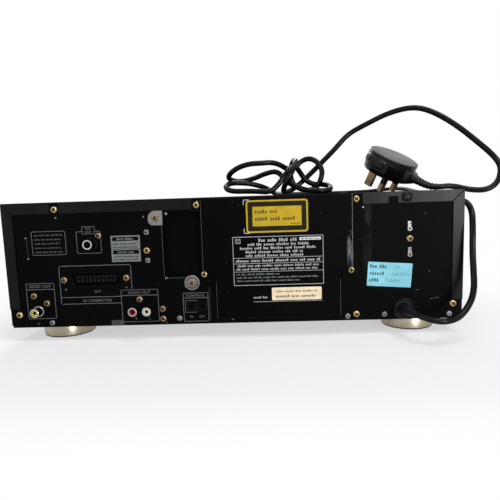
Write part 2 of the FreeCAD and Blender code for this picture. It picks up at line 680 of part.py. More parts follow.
def make_tray():
    """Disc tray: round recesses for two disc sizes and a slot open to the rear."""
    body = new_body("tray_plate")
    tall = ("tray_bottom", "tray_top")
    floor_level = "tray_bottom + recess_floor"
    centre = ("0", "-disc_centre")
    pad(body, "tray_slab", "z", tall,
        boxed(("-tray_half", "tray_half"), ("door_back", "tray_tail")))
    for sign, word in ((-1, "left"), (1, "right")):
        pad(body, f"tray_{word}_arm", "z", tall,
            boxed(both_sides("tray_half - arm_width", "tray_half", sign),
                  ("tray_tail", "arm_tail")))
    pocket(body, "tray_large_recess", "z", (floor_level, "tray_top"),
           ringed(centre, "disc_radius"))
    pocket(body, "tray_small_recess", "z", (floor_level + " - small_disc_step", floor_level),
           ringed(centre, "small_disc_radius"))
    pocket(body, "tray_slot", "z", tall,
           boxed(("-slot_half", "slot_half"), ("-disc_centre", "tray_tail")))
    pocket(body, "tray_slot_end", "z", tall, ringed(centre, "slot_half"))
    keep(join("tray_moulding", body, make_rack()), "disc_tray")
    door = new_body("tray_door_body")
    pad(door, "door_block", "y", ("front", "door_back"),
        boxed(("-door_half", "door_half"), ("door_low", "door_low + door_height")))
    face = measure("front")
    soften(door, "Fillet", "door_round", lambda edge: edge.BoundBox.YMax < face + 0.01)
    keep(door, "tray_door")


# ---------------------------------------------------------------- side frames and bridge

def make_side_frames():
    """Steel side plates with the ledges the tray runs on, their legs and a bridge seat."""
    run = ("-frame_front", "frame_rear")
    seat = ("-disc_centre - bridge_half", "bridge_half - disc_centre")
    for sign, word in ((-1, "left"), (1, "right")):
        web = both_sides("frame_in", "frame_out", sign)
        shelf = both_sides("frame_in - ledge_width", "frame_in", sign)
        top = "lip_bottom + frame_sheet"
        pieces = [
            block(f"{word}_web", web, run, ("frame_low", top)),
            block(f"{word}_ledge", shelf, run, ("ledge_top - frame_sheet", "ledge_top")),
            block(f"{word}_lip", shelf, run, ("lip_bottom", top)),
            block(f"{word}_tab", web, seat, (top, "bridge_level")),
            block(f"{word}_seat", shelf, seat, ("bridge_level - frame_sheet", "bridge_level")),
        ]
        for place in ("-front_leg_at", "rear_leg_at"):
            leg = (place, f"{place} + frame_leg")
            pieces.append(block(f"{word}_leg", web, leg, ("pan_top", "frame_low")))
            pieces.append(block(f"{word}_leg_foot",
                                both_sides("frame_out", "frame_out + leg_foot", sign), leg,
                                ("pan_top", "pan_top + frame_sheet")))
        keep(join(f"{word}_frame", *pieces), f"side_frame_{word}")


def make_clamp_bridge():
    """Ribbed plate across the side frames that carries the clamper over the turntable."""
    span = ("-disc_centre - bridge_half", "bridge_half - disc_centre")
    rib = ("bridge_level - bridge_rib", "bridge_level")
    reach = ("-bridge_rib_half", "bridge_rib_half")
    plate = block("bridge_plate", ("-frame_out", "frame_out"), span,
                  ("bridge_level", "bridge_top"))
    front_rib = block("bridge_front_rib", reach, (span[0], span[0] + " + frame_sheet"), rib)
    rear_rib = block("bridge_rear_rib", reach, (span[1] + " - frame_sheet", span[1]), rib)
    eye = round_bar("bridge_eye", "z", "bridge_hole", ("0", "-disc_centre"),
                    ("bridge_level - 1", "bridge_top + 1"))
    keep(cut("bridge", join("bridge_folds", plate, front_rib, rear_rib), eye), "clamp_bridge")


def make_clamper():
    """Disc clamper: a pad with a hollow for the hub, a neck and a cap that hangs in the eye."""
    shoulder = "clamp_level + pad_thick"
    keep(turned("clamper_body", "z", ("0", "-disc_centre"), [
        ("clamp_bore", "clamp_level"), ("pad_radius", "clamp_level"),
        ("pad_radius", shoulder), ("neck_radius", shoulder), ("neck_radius", "cap_low"),
        ("cap_radius", "cap_low"), ("cap_radius", "cap_low + cap_thick"),
        ("0", "cap_low + cap_thick"), ("0", "clamp_level + clamp_bore_depth"),
        ("clamp_bore", "clamp_level + clamp_bore_depth")]), "clamper")


# ---------------------------------------------------------------- drive frame

def make_turntable():
    """Platter with its hub for large discs, cone for small ones and shaft, and its mat."""
    centre = ("0", "-disc_centre")
    keep(turned("platter_body", "z", centre, [
        ("0", "shaft_low"), ("spindle_radius", "shaft_low"),
        ("spindle_radius", "nose_top + rail_gap"), ("boss_radius", "nose_top + rail_gap"),
        ("boss_radius", "platter_low"), ("platter_radius", "platter_low"),
        ("platter_radius", "platter_low + platter_thick"),
        ("hub_radius", "platter_low + platter_thick"), ("hub_radius", "hub_top"),
        ("cone_radius", "hub_top"), ("cone_radius - cone_taper", "hub_top + cone_rise"),
        ("0", "hub_top + cone_rise")]), "turntable")
    keep(turned("mat_body", "z", centre, [
        ("mat_inner", "platter_low + platter_thick"),
        ("platter_radius", "platter_low + platter_thick"),
        ("platter_radius", "platter_level"), ("mat_inner", "platter_level")]),
        "turntable_mat")


def make_spindle_motor():
    bore = "spindle_radius + running_gap"
    keep(turned("spindle_motor_body", "z", ("0", "-disc_centre"), [
        ("0", "motor_low"), ("motor_radius", "motor_low"), ("motor_radius", "plate_low"),
        ("motor_nose", "plate_low"), ("motor_nose", "nose_top"), (bore, "nose_top"),
        (bore, "shaft_low - running_gap"), ("0", "shaft_low - running_gap")]),
        "spindle_motor")


def bearing_blocks(body):
    """Blocks at both ends of the plate for the guide shafts and the feed screw."""
    for word, start in (("front", "-block_front"), ("rear", "block_rear")):
        depth = (start, f"{start} + block_thick")
        for side, middle in (("left", "-shaft_side"), ("right", "shaft_side"),
                             ("screw", "screw_side")):
            pad(body, f"block_{word}_{side}", "y", depth,
                boxed((f"{middle} - block_half", f"{middle} + block_half"),
                      ("plate_top - 0.5", "block_top")))


def shaft_holes(sketch):
    for middle, radius in (("-shaft_side", "shaft_radius"), ("shaft_side", "shaft_radius"),
                           ("screw_side", "shaft_radius + running_gap")):
        draw_circle(sketch, (middle, "shaft_level"), radius)


def make_drive_frame():
    """Plate that carries the spindle motor and the pickup, hinged at its rear edge."""
    body = new_body("drive_frame_body")
    tall = ("plate_low", "plate_top")
    pad(body, "drive_plate", "z", tall,
        boxed(("-plate_half", "plate_half"), ("-plate_front", "plate_rear")))
    pocket(body, "drive_window", "z", tall,
           boxed(("-window_half", "window_half"), ("lens_at + window_edge",
                                                   "block_rear - window_edge")))
    pocket(body, "drive_motor_hole", "z", tall,
           ringed(("0", "-disc_centre"), "motor_nose + rail_gap"))
    bearing_blocks(body)
    pocket(body, "drive_shaft_holes", "y", ("-block_front - 1", "block_rear + block_thick + 1"),
           shaft_holes)
    hinge = ("hinge_at", "hinge_level")
    for sign, word in ((-1, "left"), (1, "right")):
        span = both_sides("barrel_near", "barrel_far", sign)
        pad(body, f"barrel_{word}", "x", span, ringed(hinge, "barrel_radius"))
        pocket(body, f"barrel_{word}_bore", "x", span, ringed(hinge, "pin_radius + running_gap"))
        pad(body, f"cam_pin_{word}", "y", ("cam_face", "-plate_front"),
            ringed((f"{sign} * cam_pin_side", "hinge_level"), "cam_pin_radius"))
    keep(body, "drive_frame")


def make_guide_shafts():
    span = ("-block_front", "block_rear + block_thick")
    shafts = [round_bar(f"shaft_{word}", "y", "shaft_radius",
                        (f"{sign} * shaft_side", "shaft_level"), span)
              for sign, word in ((-1, "left"), (1, "right"))]
    keep(group("shaft_pair", *shafts), "guide_shafts")


def make_pickup():
    """Laser pickup: a sledge on the two shafts with a turret for the lens."""
    sledge = ("lens_at - carriage_front", "lens_at - carriage_front + carriage_length")
    through = (sledge[0] + " - 1", sledge[1] + " + 1")
    base = block("sledge_block", ("-carriage_half", "carriage_half"), sledge,
                 ("carriage_low", "carriage_top"))
    turret = round_bar("sledge_turret", "z", "turret_radius", ("0", "lens_at"),
                       ("carriage_top", "turret_top"))
    bores = [round_bar(f"sledge_bore_{number}", "y", radius, (middle, "shaft_level"), through)
             for number, (middle, radius) in enumerate((
                 ("-shaft_side", "shaft_radius + running_gap"),
                 ("shaft_side", "shaft_radius + running_gap"),
                 ("screw_side", "shaft_radius + nut_gap")))]
    keep(cut("sledge", join("sledge_body", base, turret), *bores), "pickup_carriage")
    keep(round_bar("lens_glass", "z", "lens_radius", ("0", "lens_at"),
                   ("turret_top", "turret_top + lens_thick")), "objective_lens")


def make_feed_drive():
    keep(round_bar("feed_screw_bar", "y", "shaft_radius", ("screw_side", "shaft_level"),
                   ("running_gap - block_front", "block_rear + block_thick")), "feed_screw")
    keep(round_bar("feed_motor_can", "y", "feed_motor_radius", ("screw_side", "shaft_level"),
                   ("-block_front - feed_motor_length", "-block_front")), "feed_motor")


def make_hinge_bracket():
    """Two uprights on the pan with the pins that the drive frame swings on."""
    start = "plate_rear + bracket_gap"
    deep = (start, f"{start} + bracket_depth")
    near = "barrel_far + bracket_gap"
    far = f"{near} + bracket_sheet"
    pieces = [block("hinge_foot", (f"-({far})", far), deep,
                    ("pan_top", "pan_top + bracket_sheet"))]
    for sign, word in ((-1, "left"), (1, "right")):
        pieces.append(block(f"hinge_{word}_upright", both_sides(near, far, sign), deep,
                            ("pan_top + bracket_sheet", "bracket_top")))
        pieces.append(round_bar(f"hinge_{word}_pin", "x", "pin_radius",
                                ("hinge_at", "hinge_level"),
                                both_sides("barrel_near - 1", near, sign)))
    keep(join("hinge_support", *pieces), "hinge_bracket")


# ---------------------------------------------------------------- lift cam

def cam_slot(middle):
    """A slanted slot for one pin, from its rest place down to its lowest place."""
    reach = "(cam_pin_radius + cam_slot_gap)"
    low_side = f"{middle} - cam_travel"
    low_level = "hinge_level - cam_drop"
    return [(f"{middle} - {reach}", f"hinge_level + {reach}"),
            (f"{middle} + {reach}", f"hinge_level + {reach}"),
            (f"{middle} + {reach}", f"hinge_level - {reach}"),
            (f"{low_side} + {reach}", f"{low_level} - {reach}"),
            (f"{low_side} - {reach}", f"{low_level} - {reach}"),
            (f"{low_side} - {reach}", f"{low_level} + {reach}")]


def cam_openings(sketch):
    gap = "(stud_radius + stud_gap)"
    for sign in (-1, 1):
        draw_outline(sketch, cam_slot(f"{sign} * cam_pin_side"))
        draw_box(sketch, (f"{sign} * stud_side - cam_travel - {gap}",
                          f"{sign} * stud_side + {gap}"),
                 (f"stud_level - {gap}", f"stud_level + {gap}"))


def make_lift_cam():
    """Plate that slides across and lowers the drive frame by its slanted slots."""
    body = new_body("lift_cam_body")
    depth = ("cam_face", "cam_back")
    pad(body, "cam_sheet_pad", "y", depth, boxed(("-cam_half", "cam_half"),
                                                 ("cam_low", "cam_high")))
    pocket(body, "cam_slots", "y", depth, cam_openings)
    keep(body, "cam_plate")
    stop = "cam_face - stud_gap"
    pieces = [
        block("cam_bracket_plate", ("-cam_bracket_half", "cam_bracket_half"),
              (f"{stop} - bracket_sheet", stop), ("pan_top", "cam_bracket_top")),
        block("cam_bracket_base", ("-cam_bracket_half", "cam_bracket_half"),
              (f"{stop} - bracket_sheet - cam_bracket_foot", f"{stop} - bracket_sheet"),
              ("pan_top", "pan_top + bracket_sheet")),
    ]
    for sign, word in ((-1, "left"), (1, "right")):
        centre = (f"{sign} * stud_side", "stud_level")
        pieces.append(round_bar(f"cam_{word}_stud", "y", "stud_radius", centre,
                                (stop, "cam_back + stud_gap")))
        pieces.append(round_bar(f"cam_{word}_head", "y", "stud_head", centre,
                                ("cam_back + stud_gap", "cam_back + stud_gap + bracket_sheet")))
    keep(join("cam_support", *pieces), "cam_bracket")


# ---------------------------------------------------------------- loading drive

def make_loading_gear():
    """Gear in mesh with the tray's rack, on one hub with the belt pulley below it."""
    centre = ("gear_side", "-gear_at")
    body = new_body("loading_gear_teeth")
    root = "pitch_radius - dedendum"
    tall = ("gear_low", "gear_top")
    pad(body, "gear_disc", "z", tall, ringed(("0", "0"), root))
    outline = [(root + " - 1", "-foot_half"), (root, "-foot_half"),
               ("pitch_radius + addendum", "-tip_half"), ("pitch_radius + addendum", "tip_half"),
               (root, "foot_half"), (root + " - 1", "foot_half")]
    tooth = pad(body, "gear_tooth", "z", tall, lambda sketch: draw_outline(sketch, outline))
    repeat_round(body, tooth, tooth.Profile[0], "gear_teeth")
    bind(body, "Placement.Base.x", centre[0])
    bind(body, "Placement.Base.y", centre[1])
    rim = "pulley_radius + flange_rise"
    pieces = [body,
              round_bar("gear_low_flange", "z", rim, centre, ("pulley_low", "groove_low")),
              round_bar("gear_groove", "z", "pulley_radius", centre,
                        ("groove_low", "groove_high")),
              round_bar("gear_high_flange", "z", rim, centre,
                        ("groove_high", "groove_high + flange_thick")),
              round_bar("gear_hub", "z", root, centre,
                        ("groove_high + flange_thick", "gear_low"))]
    bore = round_bar("gear_bore", "z", "pin_radius + running_gap", centre,
                     ("pulley_low - 1", "gear_top + 1"))
    keep(cut("loading_gear_moulding", join("loading_gear_solid", *pieces), bore),
         "loading_gear")


def make_motor_pulley():
    centre = ("drive_pulley_side", "-gear_at")
    rim = "drive_pulley_radius + flange_rise"
    pieces = [round_bar("motor_low_flange", "z", rim, centre, ("pulley_low", "groove_low")),
              round_bar("motor_groove", "z", "drive_pulley_radius", centre,
                        ("groove_low", "groove_high")),
              round_bar("motor_high_flange", "z", rim, centre,
                        ("groove_high", "groove_high + flange_thick"))]
    bore = round_bar("motor_pulley_bore", "z", "motor_shaft + running_gap", centre,
                     ("pulley_low - 1", "groove_high + flange_thick + 1"))
    keep(cut("motor_pulley_moulding", join("motor_pulley_solid", *pieces), bore),
         "drive_pulley")


def make_belt():
    """Flat belt round the two pulleys, clear of their grooves by the belt gap."""
    distance = measure("gear_side - drive_pulley_side")
    level = measure("groove_low + (groove - belt_height) / 2")
    faces = []
    for grow in (0, measure("belt_thick")):
        large = measure("pulley_radius + belt_gap") + grow
        small = measure("drive_pulley_radius + belt_gap") + grow
        lean = math.asin((large - small) / distance)
        touch = Vector(-math.sin(lean), math.cos(lean), 0)
        mirror = Vector(touch.x, -touch.y, 0)
        far = Vector(-distance, 0, 0)
        edges = [
            Part.Arc(mirror * large, Vector(large, 0, 0), touch * large).toShape(),
            Part.LineSegment(touch * large, far + touch * small).toShape(),
            Part.Arc(far + touch * small, far - Vector(small, 0, 0),
                     far + mirror * small).toShape(),
            Part.LineSegment(far + mirror * small, mirror * large).toShape(),
        ]
        faces.append(Part.Face(Part.Wire(edges)))
    item = doc.addObject("Part::Feature", "belt_loop")
    item.Shape = faces[1].cut(faces[0]).extrude(Vector(0, 0, measure("belt_height")))
    item.Placement = Placement(
        Vector(measure("gear_side"), -measure("gear_at"), level), Rotation())
    keep(item, "loading_belt")


def make_loading_beam():
    """Cross plate at the front with the gear's pin, and the loading motor under it."""
    gear = ("gear_side", "-gear_at")
    motor = ("drive_pulley_side", "-gear_at")
    pieces = [
        block("beam_plate", ("-frame_in", "frame_in"), ("-beam_front", "-beam_rear"),
              ("beam_low", "beam_top")),
        block("beam_fold", ("-frame_in", "frame_in"), ("-beam_rear - beam_sheet", "-beam_rear"),
              ("beam_low - beam_fold_depth", "beam_low")),
        round_bar("beam_boss", "z", "pin_radius * 2", gear,
                  ("beam_top", "pulley_low - rail_gap")),
        round_bar("beam_pin", "z", "pin_radius", gear, ("beam_top", "gear_top")),
    ]
    hole = round_bar("beam_motor_hole", "z", "motor_shaft * 2", motor,
                     ("beam_low - 1", "beam_top + 1"))
    keep(cut("loading_beam_sheet", join("loading_beam_solid", *pieces), hole), "front_beam")
    can = round_bar("loading_motor_can", "z", "loading_motor_radius", motor,
                    ("beam_low - loading_motor_length", "beam_low"))
    shaft = round_bar("loading_motor_shaft", "z", "motor_shaft", motor,
                      ("beam_low", "groove_high + flange_thick"))
    keep(join("loading_motor_solid", can, shaft), "loading_motor")


# ---------------------------------------------------------------- electronics

def make_boards():
    """Main board and power board on the pan's posts, jack board behind the sockets."""
    main = [block("main_sheet", ("main_board_near", "main_board_far"),
                  ("-main_board_front", "main_board_rear"), ("board_level", "board_top"))]
    for number in range(4):
        middle = f"(main_board_rear - (main_board_front + main_board_rear) * {number + 0.5} / 4)"
        main.append(block(f"main_chip_{number}",
                          ("main_board_near + chip_inset", "main_board_near + chip_inset + chip"),
                          (f"{middle} - chip / 2", f"{middle} + chip / 2"),
                          ("board_top", "board_top + chip_thick")))
    keep(join("main_board_solid", *main), "main_board")
    power = [block("power_sheet", ("-power_board_far", "-power_board_near"),
                   ("-power_board_front", "power_board_rear"), ("board_level", "board_top"))]
    for number in range(2):
        place = f"power_board_rear - {number + 1} * can_pitch"
        power.append(round_bar(f"power_can_{number}", "z", "can_radius",
                               ("can_pitch - power_board_far", place),
                               ("board_top", "board_top + can_height")))
    power.append(block("power_heat_sink", ("-power_board_near - sink_inset",
                                           "-power_board_near - sink_inset + sink_thick"),
                       ("-power_board_front / 2", "power_board_rear / 2"),
                       ("board_top", "board_top + can_height")))
    keep(join("power_board_solid", *power), "power_board")
    keep(block("jack_board_sheet", ("jack_board_near", "jack_board_far"),
               ("jack_board_at - board", "jack_board_at"),
               ("jack_board_low", "jack_board_high")), "jack_board")


def make_transformer():
    """Laminated core with a winding that bulges out of it front and rear."""
    tall = ("pan_top", "core_top")
    span = ("-core_far", "-core_near")
    core = block("core_stack", span, ("core_front", "core_rear"), tall)
    winding = block("core_winding", ("-core_far + coil_grow", "-core_near - coil_grow"),
                    ("core_front - coil_grow", "core_rear + coil_grow"),
                    ("pan_top + coil_grow", "core_top - coil_grow"))
    keep(join("transformer_solid", core, winding), "transformer")


# ---------------------------------------------------------------- rear sockets

def rca_barrel(name, side, level):
    """Round shell of a phono jack with its collar, inset insulator and contact hole."""
    centre = (side, level)
    shell = join(name + "_shell",
                 round_bar(name + "_tube", "y", "rca_radius", centre,
                           ("panel_in", "rear + jack_reach")),
                 round_bar(name + "_collar", "y", "rca_collar", centre,
                           ("rear", "rear + rca_collar_thick")))
    inset = round_bar(name + "_inset", "y", "rca_bore", centre,
                      ("rear + jack_reach - rca_inset", "rear + jack_reach + 1"))
    contact = round_bar(name + "_contact", "y", "rca_contact", centre,
                        ("rear + jack_reach - rca_depth", "rear + jack_reach + 1"))
    return cut(name + "_barrel", shell, inset, contact)


def make_phono_jacks():
    for name, side, level in (("video_jack", "video_side", "video_level"),
                              ("audio_jack_red", "red_side", "audio_level"),
                              ("audio_jack_white", "white_side", "audio_level")):
        case = block(name + "_case", (f"{side} - rca_body", f"{side} + rca_body"),
                     ("jack_board_at", "panel_in"),
                     (f"{level} - rca_body", f"{level} + rca_body"))
        keep(join(name + "_solid", case, rca_barrel(name, side, level)), name)
    can = block("rf_can", ("rf_near", "rf_far"), ("rf_front", "panel_in"),
                ("rf_low", "rf_high"))
    keep(join("rf_solid", can, rca_barrel("rf", "rf_side", "rf_level")), "rf_converter")


def make_scart_socket():
    """Metal shell round an insulator block with two rows of contact slots."""
    body = new_body("scart_body")
    face = "rear + scart_proud"
    back = "rear - scart_depth"
    pad(body, "scart_shell_pad", "y", (back, face),
        lambda sketch: draw_outline(sketch, scart_outline("0")))
    pocket(body, "scart_shell_hollow", "y", (back + " + scart_shell", face),
           lambda sketch: draw_outline(sketch, scart_outline("-scart_shell")))
    pad(body, "scart_block", "y", (back + " + scart_shell", "rear"),
        lambda sketch: draw_outline(sketch, scart_outline("-scart_block_inset")))
    for word, shift in (("low", "-scart_slot_height"), ("high", "0")):
        lift = f"scart_level + {shift} / 2 + ({shift}) / 2"
        start = "scart_side - 4.5 * scart_slot_pitch"
        slot = pocket(body, f"scart_{word}_slot", "y", ("rear - scart_slot_depth", "rear"),
                      boxed((f"{start} - scart_slot / 2", f"{start} + scart_slot / 2"),
                            (f"{lift} + scart_slot_web", f"{lift} + scart_slot_height")))
        repeat_along(body, slot, slot.Profile[0], "scart_slot_pitch", "10")
    keep(body, "scart_socket")


def make_control_jacks():
    """Two mini jacks side by side, each a square block with a round hole."""
    jacks = []
    for word, side in (("in", "control_in_side"), ("out", "control_out_side")):
        case = block(f"control_{word}_case", (f"{side} - mini_half", f"{side} + mini_half"),
                     ("jack_board_at", "rear + mini_proud"),
                     ("control_level - mini_half", "control_level + mini_half"))
        bore = round_bar(f"control_{word}_bore", "y", "mini_bore", (side, "control_level"),
                         ("rear + mini_proud - mini_depth", "rear + mini_proud + 1"))
        jacks.append(cut(f"control_{word}", case, bore))
    keep(group("control_pair", *jacks), "control_jacks")


def make_gland():
    """Strain relief of the mains cord: neck through the panel, flange and tapered nose."""
    keep(turned("gland_body", "y", ("-gland_side", "gland_level"), [
        ("0", "rear - gland_reach"), ("gland_neck", "rear - gland_reach"),
        ("gland_neck", "rear"), ("gland_radius", "rear"),
        ("gland_radius", "rear + gland_flange"), ("gland_neck", "rear + gland_flange"),
        ("gland_nose", "rear + gland_reach"), ("0", "rear + gland_reach")]), "cord_gland")


# ---------------------------------------------------------------- fasteners

def screw(name, side, level, seat):
    """Screw with a round head on seat and a shank through the panel."""
    head = round_bar(name + "_head", "y", "screw_head", (side, level),
                     (seat, f"{seat} + screw_rise"))
    shank = round_bar(name + "_shank", "y", "screw_shank", (side, level),
                      ("rear - shank_length", seat))
    socket = round_bar(name + "_socket", "y", "screw_socket", (side, level),
                       (f"{seat} + screw_rise - socket_depth", f"{seat} + screw_rise + 1"))
    return cut(name, join(name + "_solid", head, shank), socket)


def washer_plate(number):
    """Square plate washer under the first washer screw, round one under the second."""
    side, level = f"washer_{number}_side", f"washer_{number}_level"
    thick = ("rear", "rear + washer_thick")
    if number == 0:
        plate = block("square_washer", (f"{side} - washer_half", f"{side} + washer_half"),
                      thick, (f"{level} - washer_half", f"{level} + washer_half"))
    else:
        plate = round_bar("round_washer", "y", "washer_half", (side, level), thick)
    hole = round_bar(f"washer_{number}_hole", "y", "screw_shank", (side, level),
                     ("panel_in", "rear + washer_thick + 1"))
    return cut(f"washer_{number}", plate, hole)


def make_fasteners():
    def screws(kind, spots, seat):
        return [screw(f"{kind}_{count}", f"{kind}_{count}_side", f"{kind}_{count}_level", seat)
                for count in range(len(spots))]
    keep(group("gold_screw_set", *screws("gold", GOLD_SCREWS, "rear")), "gold_screws")
    keep(group("copper_screw_set", *screws("copper", COPPER_SCREWS, "rear"),
               *screws("washer", WASHER_SCREWS, "rear + washer_thick")), "copper_screws")
    rivets = [round_bar(f"rivet_{count}", "y", "rivet_head",
                        (f"rivet_{count}_side", f"rivet_{count}_level"),
                        ("rear", "rear + rivet_rise"), top_radius="rivet_head * 0.7")
              for count in range(len(RIVETS))]
    washers = [washer_plate(number) for number in range(len(WASHER_SCREWS))]
    keep(group("rivet_set", *rivets, *washers), "panel_rivets")


# ---------------------------------------------------------------- mains cord and plug

CORD_LOWER = [
    (-157.5, 194, 24.5), (-157.5, 201.6, 24.5), (-161.7, 212.3, 24.5), (-170.8, 219.6, 21.9),
    (-182.6, 220.8, 21.1), (-195.4, 215.1, 23.3), (-207.5, 207.4, 33.9), (-211.7, 203.4, 45.9),
    (-213, 198.8, 57.5), (-213.2, 195, 76.5), (-214, 192.7, 98), (-216.7, 184, 114.1),
    (-218.2, 163, 121.5), (-217.6, 124, 124), (-216.5, 84, 127), (-215, 42, 130.5),
    (-212.5, 2, 136), (-202, -32, 137), (-180, -58, 134.2), (-148, -66, 133.9),
    (-114, -55, 133.8), (-84, -31, 133.8), (-62, 0, 133.8), (-50, 36, 133.8),
    (-45, 68, 134.4), (-42, 94, 137), (-39, 116, 140),
]
CORD_UPPER = [
    (-180.7, 148.5, 140.7), (-186.9, 155.1, 135.4), (-196.2, 159.2, 133.8), (-209.3, 158, 134.9),
    (-225.7, 161.8, 129.9), (-239.5, 166.2, 129.7), (-251.5, 164.4, 137.4),
    (-256, 160.5, 150.8), (-251.6, 152.7, 162.4), (-235.8, 148.8, 177), (-219.1, 143.6, 192.1),
    (-199.4, 137.1, 206.8), (-182, 132.2, 213.5), (-159.6, 127, 209.9), (-138.3, 124.3, 200.5),
    (-118.2, 122.6, 190.7), (-105.7, 124.5, 176.5), (-94.9, 126.7, 160.6), (-88, 127.8, 154),
]


def make_cord_tube(name, node, points):
    """Round cord along straight runs joined by tangent arcs as large as the runs allow."""
    radius = measure("cord") / 2
    spots = [Vector(*point) for point in points]
    edges = []
    start = spots[0]
    length = 0
    for before, here, after in zip(spots, spots[1:], spots[2:]):
        back = (before - here).normalize()
        ahead = (after - here).normalize()
        half_turn = (math.pi - back.getAngle(ahead)) / 2
        reach = 0.45 * min(before.distanceToPoint(here), here.distanceToPoint(after))
        bend = reach / math.tan(half_turn)
        first = here + back * reach
        last = here + ahead * reach
        inward = (back + ahead).normalize()
        middle = here + inward * (bend / math.cos(half_turn) - bend)
        edges.append(Part.LineSegment(start, first).toShape())
        edges.append(Part.Arc(first, middle, last).toShape())
        length += start.distanceToPoint(first) + bend * 2 * half_turn
        start = last
        print(f"{node} bend radius {bend:.1f}")
    edges.append(Part.LineSegment(start, spots[-1]).toShape())
    length += start.distanceToPoint(spots[-1])
    section = Part.Wire(Part.Circle(spots[0], spots[1] - spots[0], radius).toShape())
    item = doc.addObject("Part::Feature", name)
    item.Shape = Part.Wire(edges).makePipeShell([section], True, False)
    print(f"{node} length {length:.1f}, volume {item.Shape.Volume:.0f}, "
          f"section times length {math.pi * radius ** 2 * length:.0f}")
    keep(item, node)


def make_bundle():
    """Outer shape of the tied hank of cord that lies on the top."""
    body = new_body("cord_bundle_body")
    pad(body, "bundle_block", "z", ("bundle_low", "bundle_high"),
        boxed(("-bundle_left", "bundle_right"), ("bundle_front", "bundle_rear")))
    soften(body, "Fillet", "bundle_round", lambda edge: True)
    keep(body, "mains_cord_bundle")


def plug_place(item):
    """Stand a plug piece, made about the middle of its pin face, where the plug leans."""
    item.Placement = Placement(
        Vector(-measure("plug_side"), measure("plug_back"), measure("plug_level")),
        Rotation(Vector(0, 1, 0), -measure("plug_lean"))
        * Rotation(Vector(1, 0, 0), -measure("plug_tip"))
        * Rotation(Vector(0, 0, 1), 180 - measure("plug_turn")))
    return item


def make_plug():
    """Three-pin mains plug: flared round body, side grip for the cord and its pins."""
    body = turned("plug_turned", "z", ("0", "0"), [
        ("0", "0"), ("plug_neck", "0"), ("plug_radius", "plug_base"),
        ("plug_neck + 1", "plug_base + plug_wall"),
        ("plug_crown", "plug_base + plug_wall + plug_dome"),
        ("0", "plug_base + plug_wall + plug_dome")])
    grip = round_bar("plug_cord_grip", "x", "plug_grip", ("0", "plug_grip_level"),
                     ("plug_neck - 2", "plug_radius + plug_grip_length"))
    keep(plug_place(join("plug_solid", body, grip)), "plug_body")
    earth = block("earth_pin", ("-earth_offset - earth_wide / 2", "earth_wide / 2 - earth_offset"),
                  ("-pin_thick / 2", "pin_thick / 2"), ("-earth_length", "0"))
    pins = [earth]
    for sign, word in ((-1, "left"), (1, "right")):
        middle = "live_pitch - earth_offset"
        pins.append(block(f"{word}_pin", (f"{middle} - pin_thick / 2", f"{middle} + pin_thick / 2"),
                          (f"{sign} * live_side - live_wide / 2",
                           f"{sign} * live_side + live_wide / 2"), ("-live_length", "0")))
    keep(plug_place(group("plug_pin_set", *pins)), "plug_pins")


# ---------------------------------------------------------------- build, check and write

def check_document():
    for item in doc.Objects:
        if "Invalid" in item.State or "Error" in item.State:
            raise RuntimeError(f"{item.Name} failed: {item.State}")
    for item in SUBPARTS:
        if item.Shape.isNull() or not item.Shape.isValid() or not item.Shape.Solids:
            raise RuntimeError(f"{item.Label} has no sound shape")


def write_parts():
    os.makedirs("parts", exist_ok=True)
    for item in SUBPARTS:
        item.Shape.exportStep(f"parts/{item.Label}.step")


for make in (make_base_pan, make_rear_panel, make_centre_cover, make_bonnet, make_fascia,
             make_feet, make_keys, make_display, make_tray, make_side_frames,
             make_clamp_bridge, make_clamper, make_turntable, make_spindle_motor,
             make_drive_frame, make_guide_shafts, make_pickup, make_feed_drive,
             make_hinge_bracket, make_lift_cam, make_loading_gear, make_motor_pulley,
             make_belt, make_loading_beam, make_boards, make_transformer, make_phono_jacks,
             make_scart_socket, make_control_jacks, make_gland, make_fasteners, make_bundle,
             make_plug):
    make()
make_cord_tube("cord_lower_tube", "mains_cord_lower", CORD_LOWER)
make_cord_tube("cord_upper_tube", "mains_cord_upper", CORD_UPPER)
doc.recompute()
check_document()
write_parts()
print(f"{len(SUBPARTS)} sub-parts written")
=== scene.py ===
import json
import random
from math import cos, pi, radians, sin

import bmesh
import bpy
from mathutils import Matrix, Vector


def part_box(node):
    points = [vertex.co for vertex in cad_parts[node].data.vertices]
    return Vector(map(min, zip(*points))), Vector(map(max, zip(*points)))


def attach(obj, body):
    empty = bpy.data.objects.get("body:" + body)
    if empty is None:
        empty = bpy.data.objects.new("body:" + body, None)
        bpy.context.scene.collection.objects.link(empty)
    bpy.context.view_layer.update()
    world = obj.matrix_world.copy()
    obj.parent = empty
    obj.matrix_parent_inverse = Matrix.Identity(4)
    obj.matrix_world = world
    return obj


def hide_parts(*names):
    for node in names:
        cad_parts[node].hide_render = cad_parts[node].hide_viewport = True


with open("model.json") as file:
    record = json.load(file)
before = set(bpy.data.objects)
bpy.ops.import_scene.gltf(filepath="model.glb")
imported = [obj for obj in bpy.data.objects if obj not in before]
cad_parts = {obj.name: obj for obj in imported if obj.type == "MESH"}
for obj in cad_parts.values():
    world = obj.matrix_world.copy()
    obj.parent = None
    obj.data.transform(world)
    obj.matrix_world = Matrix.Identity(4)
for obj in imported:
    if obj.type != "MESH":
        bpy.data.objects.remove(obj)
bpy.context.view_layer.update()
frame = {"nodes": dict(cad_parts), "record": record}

MM = 0.001
random.seed(7)

# Levels of the cabinet, in millimetres: X grows to the right seen from the front,
# Y towards the rear panel, Z upwards.
REAR = 184        # outer face of the rear panel
COVER = 188       # outer face of the raised cover in its middle
FRONT = -193      # outer face of the fascia
ROOF = 131
UNDERSIDE = 14
PRINT = 0.06      # height of a printed line over the paint
OVERPRINT = 0.02  # step from one print to the next on top of it
STICKER = 0.16    # thickness of a paper sticker
FRONT_PRINT = FRONT - 0.05


